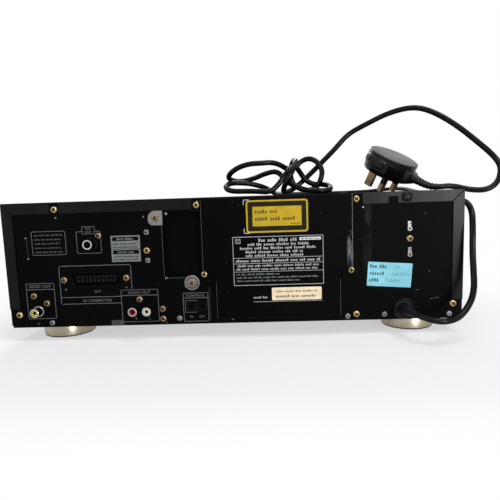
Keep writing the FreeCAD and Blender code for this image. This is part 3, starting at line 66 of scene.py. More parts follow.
# ---- mesh helpers

def add_object(name, data):
    """An object linked to the scene."""
    made = bpy.data.objects.new(name, data)
    bpy.context.scene.collection.objects.link(made)
    return made


def add_piece(name, data):
    """A visible piece that rides the cabinet."""
    piece = add_object(name, data)
    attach(piece, "cabinet")
    return piece


def finish_mesh(name, form, materials, smooth_angle=35):
    """A mesh datablock from a bmesh, smooth wherever its faces meet at a shallow angle."""
    bmesh.ops.recalc_face_normals(form, faces=form.faces)
    for face in form.faces:
        face.smooth = True
    for edge in form.edges:
        if len(edge.link_faces) == 2 and edge.calc_face_angle() > radians(smooth_angle):
            edge.smooth = False
    mesh = bpy.data.meshes.new(name)
    form.to_mesh(mesh)
    form.free()
    for material in materials:
        mesh.materials.append(material)
    return mesh


def dress(name, form, slot, finishes, stands_for=None, smooth_angle=35):
    """A piece from a bmesh whose face materials count through the named finishes."""
    mesh = finish_mesh(name, form, [FINISHES[each] for each in finishes], smooth_angle)
    piece = add_piece(name, mesh)
    if stands_for:
        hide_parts(stands_for)
    return piece


def add_drawn(draw, slot, *finishes, **settings):
    """A piece with the name of the function that draws it in a bmesh."""
    form = bmesh.new()
    draw(form)
    dress(draw.__name__, form, slot, finishes, **settings)


def band(form, low, high, material=0):
    """Faces between two rings of points, of which one may be a single point."""
    count = max(len(low), len(high))
    for k in range(count):
        after = (k + 1) % count
        corners = [low[k % len(low)], low[after % len(low)],
                   high[after % len(high)], high[k % len(high)]]
        form.faces.new(list(dict.fromkeys(corners))).material_index = material


def skin(form, rings, material=0, ends=(0, -1)):
    """Faces between rings of points and over the rings at the ends."""
    for low, high in zip(rings, rings[1:]):
        band(form, low, high, material)
    for end in ends:
        form.faces.new(rings[end]).material_index = material


def circle(count, turned=0):
    """Cosine and sine of equal steps round a circle."""
    angles = [2 * pi * k / count + turned for k in range(count)]
    return [(cos(angle), sin(angle)) for angle in angles]


def turn(form, profile, centre, tilt=Matrix.Identity(3), segments=48):
    """A turned form about the Y axis through centre, in millimetres.

    profile is a list of (radius, level, material index of the band that follows, or 0);
    level is counted from centre along +Y. tilt, a matrix, turns the form about centre.
    """
    rings = []
    for radius, level, *_ in profile:
        spots = [tilt @ Vector((radius * across, level, radius * up))
                 for up, across in (circle(segments) if radius else [(0, 0)])]
        rings.append([form.verts.new((Vector(centre) + spot) * MM) for spot in spots])
    for (_, _, *material), low, high in zip(profile, rings, rings[1:]):
        band(form, low, high, *material)


def stud(form, profile, x, z, segments=48):
    """A turned form on the rear panel."""
    turn(form, profile, (x, REAR, z), segments=segments)


def rounded(low, high, radius, steps=5, inset=0):
    """Outline of a rounded rectangle between two corners (x, z), or this far inside them."""
    x0, z0, x1, z1 = low[0] + inset, low[1] + inset, high[0] - inset, high[1] - inset
    outline = []
    for cx, cz, start in ((x1 - radius, z1 - radius, 0), (x0 + radius, z1 - radius, 90),
                          (x0 + radius, z0 + radius, 180), (x1 - radius, z0 + radius, 270)):
        for k in range(steps + 1):
            angle = radians(start + 90 * k / steps)
            outline.append((cx + radius * cos(angle), cz + radius * sin(angle)))
    return outline


def ring_at(form, outline, level):
    """Points of an outline (x, z) at a level along Y."""
    return [form.verts.new(Vector((x, level, z)) * MM) for x, z in outline]


def slab(form, outline, near, far, material=0):
    """A flat plate of the outline from level near to level far."""
    skin(form, [ring_at(form, outline, near), ring_at(form, outline, far)], material)


def line_box(form, low, high, radius, width, level, material=0):
    """A printed frame: the band between a rounded rectangle and a smaller one inside it."""
    inner = rounded(low, high, max(radius - width, 0.05), inset=width)
    outer = ring_at(form, rounded(low, high, radius), level)
    band(form, outer, ring_at(form, inner, level), material)


def patch(form, corners, level, material=0):
    """One flat face."""
    form.faces.new(ring_at(form, corners, level)).material_index = material


def bar(form, x0, x1, z0, z1, level, material=0):
    """One flat upright rectangle."""
    patch(form, ((x0, z0), (x1, z0), (x1, z1), (x0, z1)), level, material)


def dashes(form, x0, x1, z, height, level, material=0):
    """Plain short bars in place of small print, from the left as seen from behind."""
    step = 0.72 * height
    x = x1
    while x > x0 + step:
        stop = max(x - step * random.choice((3, 4, 5, 6, 7)), x0)
        while x > stop + step * 0.5:
            tall = height * random.choice((0.7, 0.7, 1))
            bar(form, x - step * 0.68, x, z, z + tall, level, material)
            x -= step
        x -= step * 0.9


# ---- materials

INK_GRAIN = 0.00001   # depth of the grain of prints, in metres


def fill(tree, made, **settings):
    """Set or link a node's inputs, their names with _ for a space; the rest are properties."""
    for name, value in settings.items():
        label = name.replace("_", " ")
        if isinstance(value, bpy.types.NodeSocket):
            tree.links.new(value, made.inputs[label])
        elif label in made.inputs:
            made.inputs[label].default_value = value
        else:
            setattr(made, name, value)
    return made


def node(tree, kind, **settings):
    return fill(tree, tree.nodes.new("ShaderNode" + kind), **settings)


def maths(tree, operation, first, second):
    made = node(tree, "Math", operation=operation)
    tree.links.new(first, made.inputs[0])
    tree.links.new(second, made.inputs[1])
    return made.outputs["Value"]


class Finish:
    """A material built in layers over one Principled shader, in object coordinates."""

    def __init__(self, name, colour, roughness, metallic=0, **shader):
        self.material = bpy.data.materials.new(name)
        self.material.use_nodes = True
        self.tree = self.material.node_tree
        self.shader = fill(self.tree, self.tree.nodes["Principled BSDF"], Roughness=roughness,
                           Base_Color=(*colour, 1), Metallic=metallic, **shader)
        self.place = self.add("TexCoord", "Object")

    def add(self, kind, output, **settings):
        """An output of a new node."""
        return node(self.tree, kind, **settings).outputs[output]

    def noise(self, scale, detail, stretch=(1, 1, 1), distortion=0):
        """Noise whose features are about 1/scale metres across, drawn out by stretch."""
        mapped = self.add("Mapping", "Vector", Vector=self.place, Scale=stretch)
        return self.add("TexNoise", "Fac", Vector=mapped, Scale=scale, Detail=detail,
                        Distortion=distortion)

    def spread(self, source, low, high, to_low=0, to_high=1):
        return self.add("MapRange", "Result", Value=source, From_Min=low, From_Max=high,
                        To_Min=to_low, To_Max=to_high)

    def patches(self, low, high, *noise):
        """Where this noise is high, fading in between two of its values."""
        return self.spread(self.noise(*noise), low, high)

    def times(self, first, second):
        return maths(self.tree, "MULTIPLY", first, second)

    def feed(self, name, source):
        self.tree.links.new(source, self.shader.inputs[name])

    def cover(self, name, kind, mask, value):
        """Lay another value over what an input of the shader has, where the mask is."""
        target = self.shader.inputs[name]
        below = target.links[0].from_socket if target.is_linked else target.default_value
        self.feed(name, self.add("Mix", "Result", data_type=kind, A=below, B=value, Factor=mask))

    def tint(self, mask, colour):
        """Another colour where the mask is."""
        self.cover("Base Color", "RGBA", mask, (*colour, 1))

    def gloss(self, mask, roughness):
        """Another roughness where the mask is."""
        self.cover("Roughness", "FLOAT", mask, roughness)

    def relief(self, source, depth):
        """Bump of this depth in metres, over the rounding of the edges if that is there."""
        normal = self.shader.inputs["Normal"]
        below = {"Normal": normal.links[0].from_socket} if normal.is_linked else {}
        self.feed("Normal", self.add("Bump", "Normal", Strength=1, Distance=depth,
                                     Height=source, **below))

    def soft_edges(self, radius):
        """Edges catch the light as if rounded by this radius in metres."""
        self.feed("Normal", self.add("Bevel", "Normal", samples=4, Radius=radius))

    def between(self, axis, low, high, fade):
        """A soft band along one axis, in metres."""
        value = self.add("SeparateXYZ", axis, Vector=self.place)
        return self.times(self.spread(value, low - fade, low + fade),
                          self.spread(value, high - fade, high + fade, 1, 0))

    def facing_up(self):
        """Where the surface looks upwards and holds the dust."""
        normal = self.add("NewGeometry", "Normal")
        return self.spread(self.add("SeparateXYZ", "Z", Vector=normal), 0.5, 0.95)


def painted_sheet(name, colour, roughness, dust, specular):
    """Satin enamel on pressed steel: fine orange peel, wiped dust and hairline scratches."""
    paint = Finish(name, colour, roughness, Specular_IOR_Level=specular)
    paint.soft_edges(0.0004)
    paint.relief(paint.noise(1500, 3), 0.000012)
    cloud = paint.patches(0.42, 0.75, 14, 5, (1, 1, 0.6), 0.6)
    paint.gloss(cloud, roughness + 0.14)
    paint.gloss(paint.facing_up(), roughness + 0.2)
    paint.tint(cloud, tuple(c * 1.5 + dust for c in colour))
    hairs = paint.patches(0.74, 0.8, 60, 2, (1, 1, 22), 1.2)
    paint.tint(paint.times(hairs, paint.patches(0.5, 0.62, 22, 2)), (0.09, 0.09, 0.095))
    paint.tint(paint.patches(0.8, 0.84, 620, 1), (0.1, 0.1, 0.1))
    paint.tint(paint.times(paint.facing_up(), paint.patches(0.35, 0.8, 1100, 4)),
               tuple(c + 0.016 for c in colour))
    return paint


def moulded(name, colour, roughness, specular=0.5, grain=0.00002, scale=2200, **shader):
    """Moulded plastic with spark grain and slight polish where it is handled."""
    plastic = Finish(name, colour, roughness, Specular_IOR_Level=specular, **shader)
    plastic.soft_edges(0.0003)
    plastic.relief(plastic.noise(scale, 2), grain)
    plastic.gloss(plastic.patches(0.4, 0.7, 35, 4), max(roughness - 0.1, 0.08))
    plastic.tint(plastic.patches(0.45, 0.75, 90, 4),
                 tuple(min(c * 1.25 + 0.002, 1) for c in colour))
    return plastic


def metal(name, colour, roughness, scale, tarnish=None, stretch=(1, 1, 1)):
    """Bare or plated metal: brushed or mottled, with duller patches."""
    plate = Finish(name, colour, roughness, 1)
    plate.soft_edges(0.0002)
    plate.relief(plate.noise(scale, 3, stretch), 0.000008)
    plate.gloss(plate.patches(0.35, 0.7, scale * 0.4, 4, stretch), roughness + 0.15)
    plate.tint(plate.patches(0.48, 0.72, scale * 0.2, 5),
               tarnish or tuple(c * 0.75 for c in colour))
    return plate


def rubbery(name, colour, roughness, grain, depth, cloud, pale, **shader):
    """Rubber or sheathing with a grain and paler patches."""
    rubber = Finish(name, colour, roughness, **shader)
    rubber.relief(rubber.noise(grain, 3), depth)
    rubber.tint(rubber.patches(0.5, 0.8, *cloud), pale)
    return rubber


def cover_paint_rubbed_and_sheened():
    """The rear panel's paint, rubbed along the right edge of the raised cover, with a painted
    reflection as a lighter streaky band further right.
    """
    paint = painted_sheet("black_enamel", (0.0011, 0.0012, 0.0013), 0.42, 0.0004, 0.022)
    for across, along, rub_and_sheen, colour in (
            ((-0.1112, -0.1062, 0.0012), (0.069, 0.094, 0.006),
             (0.4, 0.62, 240, 5, (1, 1, 0.35), 0.8), (0.16, 0.165, 0.17)),
            # painted reflection: a lighter streaky band right of the cover's edge
            ((-0.127, -0.1215, 0.0022), (0.066, 0.116, 0.012),
             (0.45, 0.7, 90, 4, (1, 1, 0.25)), (0.045, 0.046, 0.048))):
        strip = paint.times(paint.between("X", *across), paint.between("Z", *along))
        paint.tint(paint.times(strip, paint.patches(*rub_and_sheen)), colour)
    return paint


def spangled_zinc():
    """Galvanised steel with flat crystals a few millimetres across."""
    zinc = Finish("zinc_steel", (0.52, 0.53, 0.54), 0.38, 1)
    zinc.soft_edges(0.0003)
    crystal = zinc.add("TexVoronoi", "Color", Scale=220, Vector=zinc.place)
    zinc.tint(zinc.add("SeparateColor", "Red", Color=crystal), (0.4, 0.41, 0.43))
    zinc.gloss(zinc.add("SeparateColor", "Green", Color=crystal), 0.52)
    zinc.relief(zinc.noise(900, 2), 0.000008)
    return zinc


def circuit_board(name, colour, track):
    """Laminate with copper tracks under its lacquer and pale specks."""
    board = Finish(name, colour, 0.35)
    tracks = board.add("TexBrick", "Fac", Vector=board.place, Scale=42, offset=0.37,
                       squash=1.6, Mortar_Size=0.035, Brick_Width=0.42, Row_Height=0.09)
    board.tint(tracks, track)
    board.tint(board.patches(0.66, 0.7, 700, 2), (0.5, 0.5, 0.48))
    board.soft_edges(0.0002)
    return board


def build_finishes():
    """Every material slot of the record, by its name, and the finishes added for the looks."""
    for plain in list(bpy.data.materials):
        bpy.data.materials.remove(plain)
    window = Finish("smoked_window", (0.003, 0.0033, 0.0036), 0.07, Specular_IOR_Level=0.3)
    window.gloss(window.patches(0.45, 0.75, 30, 4), 0.2)
    window.soft_edges(0.0003)
    tube = Finish("tube_glass", (0.035, 0.06, 0.055), 0.07, Coat_Weight=0.4)
    tube.tint(tube.patches(0.55, 0.6, 500, 1, (1, 1, 0.05)), (0.07, 0.11, 0.1))
    lens = Finish("lens_glass", (0.16, 0.1, 0.22), 0.04, Coat_Weight=0.6)
    lens.tint(lens.patches(0.4, 0.7, 300, 2), (0.1, 0.14, 0.24))
    sheath = rubbery("cord_sheath", (0.0018, 0.0018, 0.002), 0.2, 300, 0.00003, (55, 5),
                     (0.005, 0.005, 0.0052), Specular_IOR_Level=0.12)
    sheath.gloss(sheath.patches(0.45, 0.75, 70, 4), 0.42)
    made = [
        cover_paint_rubbed_and_sheened(), spangled_zinc(), window, tube, lens, sheath,
        painted_sheet("bonnet_enamel", (0.0026, 0.0027, 0.003), 0.27, 0.0015, 0.1),
        rubbery("belt_rubber", (0.012, 0.012, 0.012), 0.7, 1200, 0.00003, (150, 4),
                (0.03, 0.03, 0.03)),
        rubbery("mat_rubber", (0.02, 0.02, 0.021), 0.78, 900, 0.00005, (120, 4),
                (0.04, 0.04, 0.04)),
        circuit_board("board_green", (0.012, 0.07, 0.03), (0.03, 0.13, 0.055)),
        circuit_board("board_brown", (0.16, 0.085, 0.03), (0.24, 0.14, 0.05)),
        moulded("white_acetal", (0.76, 0.74, 0.69), 0.42, Subsurface_Weight=0.05),
    ]
    made += [moulded(*row) for row in (
        ("front_moulding", (0.0055, 0.0055, 0.006), 0.36, 0.14),
        ("tray_moulding", (0.008, 0.008, 0.0087), 0.46, 0.2, 0.00003, 1600),
        ("key_plastic", (0.011, 0.011, 0.012), 0.3, 0.22),
        ("yellow_jack", (0.4, 0.31, 0.03), 0.4), ("red_jack", (0.2, 0.006, 0.008), 0.45, 0.2),
        ("white_jack", (0.56, 0.52, 0.43), 0.45, 0.3),
        ("socket_black", (0.0014, 0.0014, 0.0015), 0.55, 0.04),
        ("gland_black", (0.004, 0.004, 0.0042), 0.5, 0.16),
        ("plug_black", (0.0038, 0.0039, 0.0043), 0.3, 0.2, 0.00009, 900),
        ("sticker_yellow", (0.39, 0.265, 0.012), 0.42, 0.12, INK_GRAIN),
        ("sticker_ink", (0.012, 0.01, 0.004), 0.5, 0.06, INK_GRAIN),
        ("brown_ink", (0.085, 0.052, 0.008), 0.5, 0.2, INK_GRAIN),
        ("dim_segments", (0.03, 0.055, 0.05), 0.4, 0.5, INK_GRAIN),
        ("sticker_blue", (0.17, 0.46, 0.55), 0.62), ("sticker_cream", (0.68, 0.55, 0.36), 0.6),
        # light line finishes: painted edge highlights, the brighter one also for scuffs
        ("dim_edge_highlight", (0.03, 0.031, 0.032), 0.5), ("edge_highlight_and_scuff", (0.085, 0.09, 0.095), 0.5))]
    made += [moulded(name, colour, 0.6, grain=INK_GRAIN) for name, colour in (
        ("print_white", (0.3, 0.31, 0.32)), ("print_bright", (0.52, 0.55, 0.57)),
        ("print_grey", (0.115, 0.122, 0.122)), ("print_frame", (0.088, 0.092, 0.095)),
        ("print_dim", (0.045, 0.047, 0.048)), ("pale_ink", (0.1, 0.09, 0.07)),
        ("blue_ink", (0.016, 0.055, 0.075)), ("pencil", (0.06, 0.13, 0.16)))]
    made += [metal(*row) for row in (
        ("champagne_foot", (0.4, 0.355, 0.265), 0.24, 160, (0.3, 0.265, 0.195), (1, 1, 30)),
        ("core_iron", (0.16, 0.15, 0.145), 0.5, 260, (0.24, 0.12, 0.06), (1, 22, 1)),
        ("motor_steel", (0.6, 0.6, 0.6), 0.3, 220, None, (1, 1, 18)),
        ("bright_steel", (0.68, 0.68, 0.67), 0.18, 260, None, (1, 0.05, 1)),
        ("tin_can", (0.66, 0.66, 0.64), 0.34, 180, (0.46, 0.45, 0.42)),
        ("contact_metal", (0.06, 0.06, 0.058), 0.5, 400, (0.03, 0.03, 0.03)),
        ("gold_zinc", (0.54, 0.4, 0.2), 0.26, 700, (0.33, 0.25, 0.12)),
        ("copper_plate", (0.31, 0.21, 0.125), 0.32, 700, (0.17, 0.115, 0.065)),
        ("nickel", (0.44, 0.43, 0.41), 0.26, 500, (0.34, 0.33, 0.31)),
        ("pin_brass", (0.36, 0.25, 0.14), 0.36, 400, (0.18, 0.125, 0.075)),
        # darker metal for hollows: painted shade in screw recesses, rivet bores, slots and dimples
        ("painted_recess_shade", (0.055, 0.036, 0.016), 0.45, 700, (0.03, 0.02, 0.012)),
        ("dull_washer", (0.21, 0.21, 0.205), 0.36, 160, (0.1, 0.1, 0.1)),
        # washer_shade: the washer metal darker, used as painted shade in the dip of the round
        # washer
        ("washer_shade", (0.07, 0.07, 0.068), 0.42, 160, (0.04, 0.04, 0.04)))]
    return {finish.material.name: finish.material for finish in made}


FINISHES = build_finishes()


def finish_cad_nodes():
    """Give every carried-over CAD piece the finish of its slot."""
    for part in frame["record"]["subparts"]:
        for holder in frame["nodes"][part["node"]].material_slots:
            holder.material = FINISHES[part["material_slot"]]


# ---- camera, light and floor

def set_camera():
    """The photograph's standpoint behind the player, level with its top."""
    right = Vector((-0.99906, -0.0292, -0.03219))
    up = Vector((-0.0285, -0.11918, 0.99246))
    back = Vector((-0.03282, 0.99244, 0.11824))
    data = bpy.data.cameras.new("camera")
    data.lens = 31.34
    data.shift_x = -0.011
    data.shift_y = 0.0041
    data.clip_start = 0.01
    camera = add_object("camera", data)
    camera.matrix_world = (Matrix.Translation(Vector((-35.9, 578.8, 127)) * MM)
                           @ Matrix((right, up, back)).transposed().to_4x4())
    bpy.context.scene.camera = camera


def seen_rays(tree):
    """1 for camera, glossy and transmission rays, 0 for those that light the object."""
    rays = node(tree, "LightPath").outputs
    direct = maths(tree, "MAXIMUM", rays["Is Camera Ray"], rays["Is Glossy Ray"])
    return maths(tree, "MAXIMUM", direct, rays["Is Transmission Ray"])


def blend(tree, share, first, second, output):
    """Feed an output with two shaders, the second in this share."""
    mix = node(tree, "MixShader", Fac=share)
    for source, target in ((first, mix.inputs[1]), (second, mix.inputs[2]),
                           (mix, tree.nodes[output].inputs["Surface"])):
        tree.links.new(source.outputs[0], target)


def set_light():
    """White to the camera, a dimmer sky for lighting, and four lamps."""
    world = bpy.data.worlds.new("studio")
    world.use_nodes = True
    tree = world.node_tree
    sky = fill(tree, tree.nodes["Background"], Color=(0.93, 0.96, 1, 1), Strength=0.42)
    white = node(tree, "Background", Color=(1, 1, 1, 1), Strength=1)
    blend(tree, seen_rays(tree), sky, white, "World Output")
    bpy.context.scene.world = world
    bpy.context.scene.view_settings.view_transform = "Standard"
    for name, where, target, size, power, colour in (
            ("key", (-0.86, 1.8, 0.19), (-0.1, 0.18, 0.09), (0.42, 0.34), 16, (1, 0.99, 0.98)),
            ("top", (-0.5, 0.7, 1.5), (-0.1, 0.1, 0.12), (0.8, 0.8), 12, (0.98, 0.99, 1)),
            ("fill", (1.1, 0.9, 0.6), (0.05, 0.15, 0.06), (0.7, 0.7), 3, (0.95, 0.98, 1)),
            ("back", (0.2, -1.2, 1.3), (0, 0, 0.1), (1, 0.5), 14, (1, 1, 1))):
        data = bpy.data.lights.new(name, "AREA")
        data.shape = "RECTANGLE"
        data.size, data.size_y = size
        data.energy = power
        data.color = colour
        lamp = add_object(name, data)
        lamp.location = where
        aim = Vector(target) - Vector(where)
        lamp.rotation_euler = aim.to_track_quat("-Z", "Y").to_euler()


def lay_floor():
    """Pale paper that brightens to the white of the background away from the player."""
    paper = Finish("paper", (0.93, 0.93, 0.93), 0.9)
    paper.relief(paper.noise(40, 3), 0.0002)
    away = paper.add("VectorMath", "Value", operation="LENGTH", Vector=paper.place)
    share = paper.times(paper.spread(away, 0.3, 1, 0.45, 1), seen_rays(paper.tree))
    blend(paper.tree, share, paper.shader, node(paper.tree, "Emission"), "Material Output")
    form = bmesh.new()
    bmesh.ops.create_grid(form, x_segments=2, y_segments=2, size=4)
    add_object("floor", finish_mesh("floor", form, [paper.material]))


# ---- mains cord

CORD_DIAMETER = 5.3
GLAND_X, GLAND_Z = -157.5, 24.5
CORD_EXIT = (GLAND_X, 194, GLAND_Z)
CORD_ROUTE = [
    # out of the gland, up beside the right wall and over the roof to the hank
    CORD_EXIT, (-157.5, 201.6, 24.5), (-161.7, 212.3, 24.5), (-170.8, 219.6, 21.9),
    (-182.6, 220.8, 21.1), (-195.4, 215.1, 23.3), (-207.5, 207.4, 33.9), (-211.7, 203.4, 45.9),
    (-213, 198.8, 57.5), (-213.2, 195, 76.5), (-214, 192.7, 98), (-216.7, 184, 114.1),
    (-218.2, 163, 121.5), (-217.6, 124, 124), (-216.5, 84, 127), (-215, 42, 130.5),
    (-212.5, 2, 136), (-202, -32, 137), (-180, -58, 134.2), (-148, -66, 133.9),
    (-114, -55, 133.8), (-84, -31, 133.8), (-62, 0, 133.8), (-50, 36, 133.8),
    (-45, 70, 134), (-42, 97, 134.6),
    # low flat loop of the hank
    (-33.8, 117, 139.5), (-23, 121.7, 143), (-11.9, 124.5, 144.9), (-1.5, 126.6, 145.4),
    (4.9, 131.6, 144.1), (6.7, 138.2, 140.9), (3.6, 144.4, 137.7), (-3.7, 147.9, 136.2),
    (-16, 147, 136.1), (-26.2, 147.6, 135.5), (-37.9, 147.3, 134.4), (-46.5, 144.9, 141.5),
    (-53.2, 143.8, 151), (-59.3, 139.6, 158.2), (-65.1, 132.3, 158.7), (-69.5, 127.1, 153.1),
    (-74.2, 125.8, 145.8), (-82.2, 125.2, 141.2), (-91.1, 125.1, 141), (-97.8, 130.9, 139.6),
    (-98.7, 139.4, 135.7), (-92.5, 146.5, 133.9), (-82.2, 147.5, 134.3), (-72.5, 139.1, 135.7),
    (-63.3, 135, 139.3), (-54.1, 132.4, 145.3),
    # open loop above it and the hoop beside the knot
    (-46.3, 128.2, 155.9), (-34.8, 123.4, 154.5), (-23.2, 120.2, 149.9), (-10.7, 118.3, 146.9),
    (-0.8, 119.9, 147.3), (4.8, 128.1, 150.3), (1.4, 138.4, 154.7), (-7.6, 140.8, 160.2),
    (-19.1, 141, 163.1), (-30.2, 140, 163.2), (-39.8, 138, 164), (-48.6, 134, 161.6),
    (-56, 129.8, 156.9), (-64.5, 125.7, 158.8), (-70.2, 124.2, 165.2), (-78, 125.5, 167.9),
    (-86, 127.7, 164.5), (-91.3, 130.9, 155.7), (-89.9, 132.6, 146.7), (-86.4, 131.2, 138.8),
    (-78.7, 126.6, 135.2), (-69.6, 116.2, 136.7),
    # once round the waist of the hank
    (-62.3, 113.8, 142.3), (-59.3, 115.5, 154.2), (-61.5, 121.6, 165.1), (-64.7, 133, 166.1),
    (-63.4, 144.1, 160.5), (-57.6, 148.3, 149.7), (-51.2, 146.2, 138.5), (-51.5, 133.8, 132.9),
    (-65.2, 117.1, 138),
    # the high arch to the plug
    (-105.7, 124.5, 176.5), (-118.2, 122.6, 190.7), (-138.3, 124.3, 200.5),
    (-159.6, 127, 209.9), (-182, 132.2, 213.5), (-199.4, 137.1, 206.8), (-219.1, 143.6, 192.1),
    (-234.6, 148.8, 177), (-249.6, 152.7, 162.4), (-253.8, 160.5, 150.8), (-249.6, 164.4, 137.4),
    (-239.5, 166.2, 129.7), (-225.7, 161.8, 129.9), (-209.3, 158, 134.9), (-196.2, 159.2, 133.8),
    (-186.9, 155.1, 135.4), (-180.7, 148.5, 140.7),
]


def lay_cord():
    """The mains lead with its strain relief at the panel and its plug."""
    data = bpy.data.curves.new("mains_cord", "CURVE")
    data.dimensions = "3D"
    data.resolution_u = 12
    data.bevel_depth = CORD_DIAMETER / 2 * MM
    data.bevel_resolution = 7
    data.use_fill_caps = True
    spline = data.splines.new("NURBS")
    spline.points.add(len(CORD_ROUTE) - 1)
    for point, spot in zip(spline.points, CORD_ROUTE):
        point.co = (*(Vector(spot) * MM), 1)
    spline.order_u = 3
    spline.use_endpoint_u = True
    data.materials.append(FINISHES["cord_sheath"])
    cord = add_piece("mains_cord", data)
    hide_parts("mains_cord_lower", "mains_cord_bundle", "mains_cord_upper")
    line = cord_line(data)
    gland_boot(line)
    plug_shell(line)


# ---- fasteners of the rear panel

GOLD_SCREWS = [(160.3, 124.3), (201.5, 26.4), (29.5, 124.3), (24.9, 60.8), (77, 84.3),
               (-114.5, 125.3), (-109.6, 61.2), (-114.2, 20), (-162.3, 88.4), (-201.7, 27.9)]
COPPER_SCREWS = [(186.3, 44.2), (174.5, 37), (121.2, 99.1), (156.4, 58.7), (97.8, 59.4),
                 (86.6, 38.6), (65.4, 29.2), (65.3, 19.8)]
WASHER_SCREWS = [(67.6, 113.8), (36.7, 53.1)]
RIVETS = [(171.1, 18.2), (50, 19.8), (-198.6, 18.3), (-139.8, 19.1), (-106.2, 18)]
SCREW_RADIUS = 3.1
SCREW_RISE = 1.9
WASHER_HALF = 6.6
WASHER_THICK = 0.8
SMALL_METALS = ("nickel", "painted_recess_shade", "dull_washer", "washer_shade")


def pan_head(form, x, seat, z, turned):
    """Pan head with a cross recess, on a shank; material 0 is the metal, 1 its recess in darker
    metal, painted shade.
    """
    hub, arm = 1.3, 1.9     # reach of the recess round the middle and along its four arms
    radii = (SCREW_RADIUS, 3.02, 2.85, 2.6, 2.3, 2.15, 2, 1.85, 1.45, 1.2, 0.7)
    segments = 40
    quarter = segments // 4
    rings = []
    for radius in radii:
        ring = []
        for k, (across, up) in enumerate(circle(segments, turned)):
            level = seat + SCREW_RISE * (1 - (radius / SCREW_RADIUS) ** 4) ** 0.5
            if radius < hub or (radius < arm and (k + 1) % quarter < 4):
                level -= 1.2 - 0.3 * radius
            ring.append(form.verts.new(Vector((x + radius * across, level, z + radius * up)) * MM))
        rings.append(ring)
    for radius, outer, inner in zip(radii[1:], rings, rings[1:]):
        for k in range(segments):
            after = (k + 1) % segments
            face = form.faces.new((outer[k], outer[after], inner[after], inner[k]))
            face.material_index = int(radius < hub
                                      or (radius < arm and (k + 2) % quarter < 5))
    form.faces.new(rings[-1]).material_index = 1
    turn(form, [(SCREW_RADIUS, 0), (1.5, 0), (1.5, -8), (0, -8)], (x, seat, z))


def screw_heads(name, replaced, finish, groups):
    """All the screws of one finish; groups are (places, seat) pairs."""
    form = bmesh.new()
    for places, seat in groups:
        for x, z in places:
            pan_head(form, x, seat, z, random.uniform(0, pi / 2))
    dress(name, form, finish, (finish, "painted_recess_shade"), replaced, 50)


def rivets_and_washers(form):
    """Hollow rivets, and the two washers under screws of the recess."""
    # hollow rivets; their bores take the darker recess metal as painted shade
    for x, z in RIVETS:
        stud(form, [(2.6, 0, 2), (2.6, 0.35, 2), (2.3, 0.85, 2), (1.7, 1.15, 2), (0.95, 1.2, 2),
                    (0.8, 0.7, 1), (0, 0.6, 1)], x, z, 32)
    # a plate with one rounded corner under the first, a dished round one under the second
    (x, z), (x_round, z_round) = WASHER_SCREWS
    half = WASHER_HALF
    outline = [(x - half, z - half), (x - half, z + half)]
    outline += [(x + half * sin(radians(a)), z + half * cos(radians(a))) for a in range(0, 91, 9)]
    outline += [(x + half, z - half * 0.55), (x + half * 0.55, z - half)]
    slab(form, outline, REAR, REAR + WASHER_THICK, 2)
    # the dip inside the round washer's rim takes the darker washer_shade: painted shade
    stud(form, [(half + 0.4, 0, 2), (half + 0.4, 0.5, 2), (half, 0.8, 2), (half - 0.8, 0.8, 2),
                (half - 1, 0.5, 3), (4.5, 0.5, 3), (4.3, 0.72, 2), (1.6, 0.72, 2)],
         x_round, z_round)
    for x, z in WASHER_SCREWS:
        stud(form, [(4.1, 0.72, 2), (4.1, 0.86, 2), (2.9, 0.86, 2)], x, z)


# ---- sockets

def phono_jack(replaced, x, z, colour, collar, collar_radius, collar_rise=1.5):
    """Bright rim round a coloured insert, on its case behind the panel; the barrel and the
    insert's bore are black, painted shade.
    """
    x0, y0, z0, x1, _, z1 = (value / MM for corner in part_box(replaced) for value in corner)
    form = bmesh.new()
    slab(form, rounded((x0, z0), (x1, z1), 0.8), y0, REAR - 1, 1)
    # socket_black on the barrel and in the bore of the insert: painted shade
    stud(form, [(collar_radius, 0, 3), (collar_radius, collar_rise - 0.4, 3),
                (collar_radius - 0.3, collar_rise, 3), (4.3, collar_rise, 2),
                (3.9, collar_rise + 0.1, 2), (3.9, 9.9, 2), (3.95, 10.2), (4.15, 10.4),
                (4.1, 10.8), (3.8, 11), (3.2, 10.95), (3.05, 10.6), (2.95, 10.2, 1),
                (2.8, 10.35, 1), (1.8, 10.35, 1), (1.5, 10, 2), (1.45, 2, 2), (0, 2, 2)],
         x, z)
    dress(replaced + "_barrel", form, colour, ("nickel", colour, "socket_black", collar), replaced)


def aerial_socket(form):
    """Black sleeve with a thin bright rim over the barrel of the RF can."""
    stud(form, [(6.6, 0), (6.6, 1.7), (4.7, 1.8), (4.3, 2.1), (4.3, 10.1), (4.35, 10.3, 1),
                (4.5, 10.5, 1), (4.45, 10.9, 1), (4.25, 11.05, 1), (4, 11, 1), (3.9, 10.6),
                (3.3, 10.4), (1.9, 10.2), (1.6, 9.6), (1.6, 3), (0, 3)], 127.8, 92)


def scart_contacts(form):
    """Blades in the two rows of slots."""
    for column in range(10):
        x = 126 + (column - 4.5) * 3.81
        for z in (55.9, 60.3):
            slab(form, rounded((x - 0.35, z), (x + 0.35, z + 2.6), 0.15, 2), REAR - 1.6,
                 REAR - 0.5)


def control_mouths(form):
    """Raised rims round the holes of the two control jacks."""
    for x in (28.1, 38.6):
        stud(form, [(3.1, 0.78), (3.1, 1.1), (2.7, 1.25), (2.1, 1.25), (1.85, 1, 1),
                    (1.85, 0.6, 1)], x, 30.6, 32)


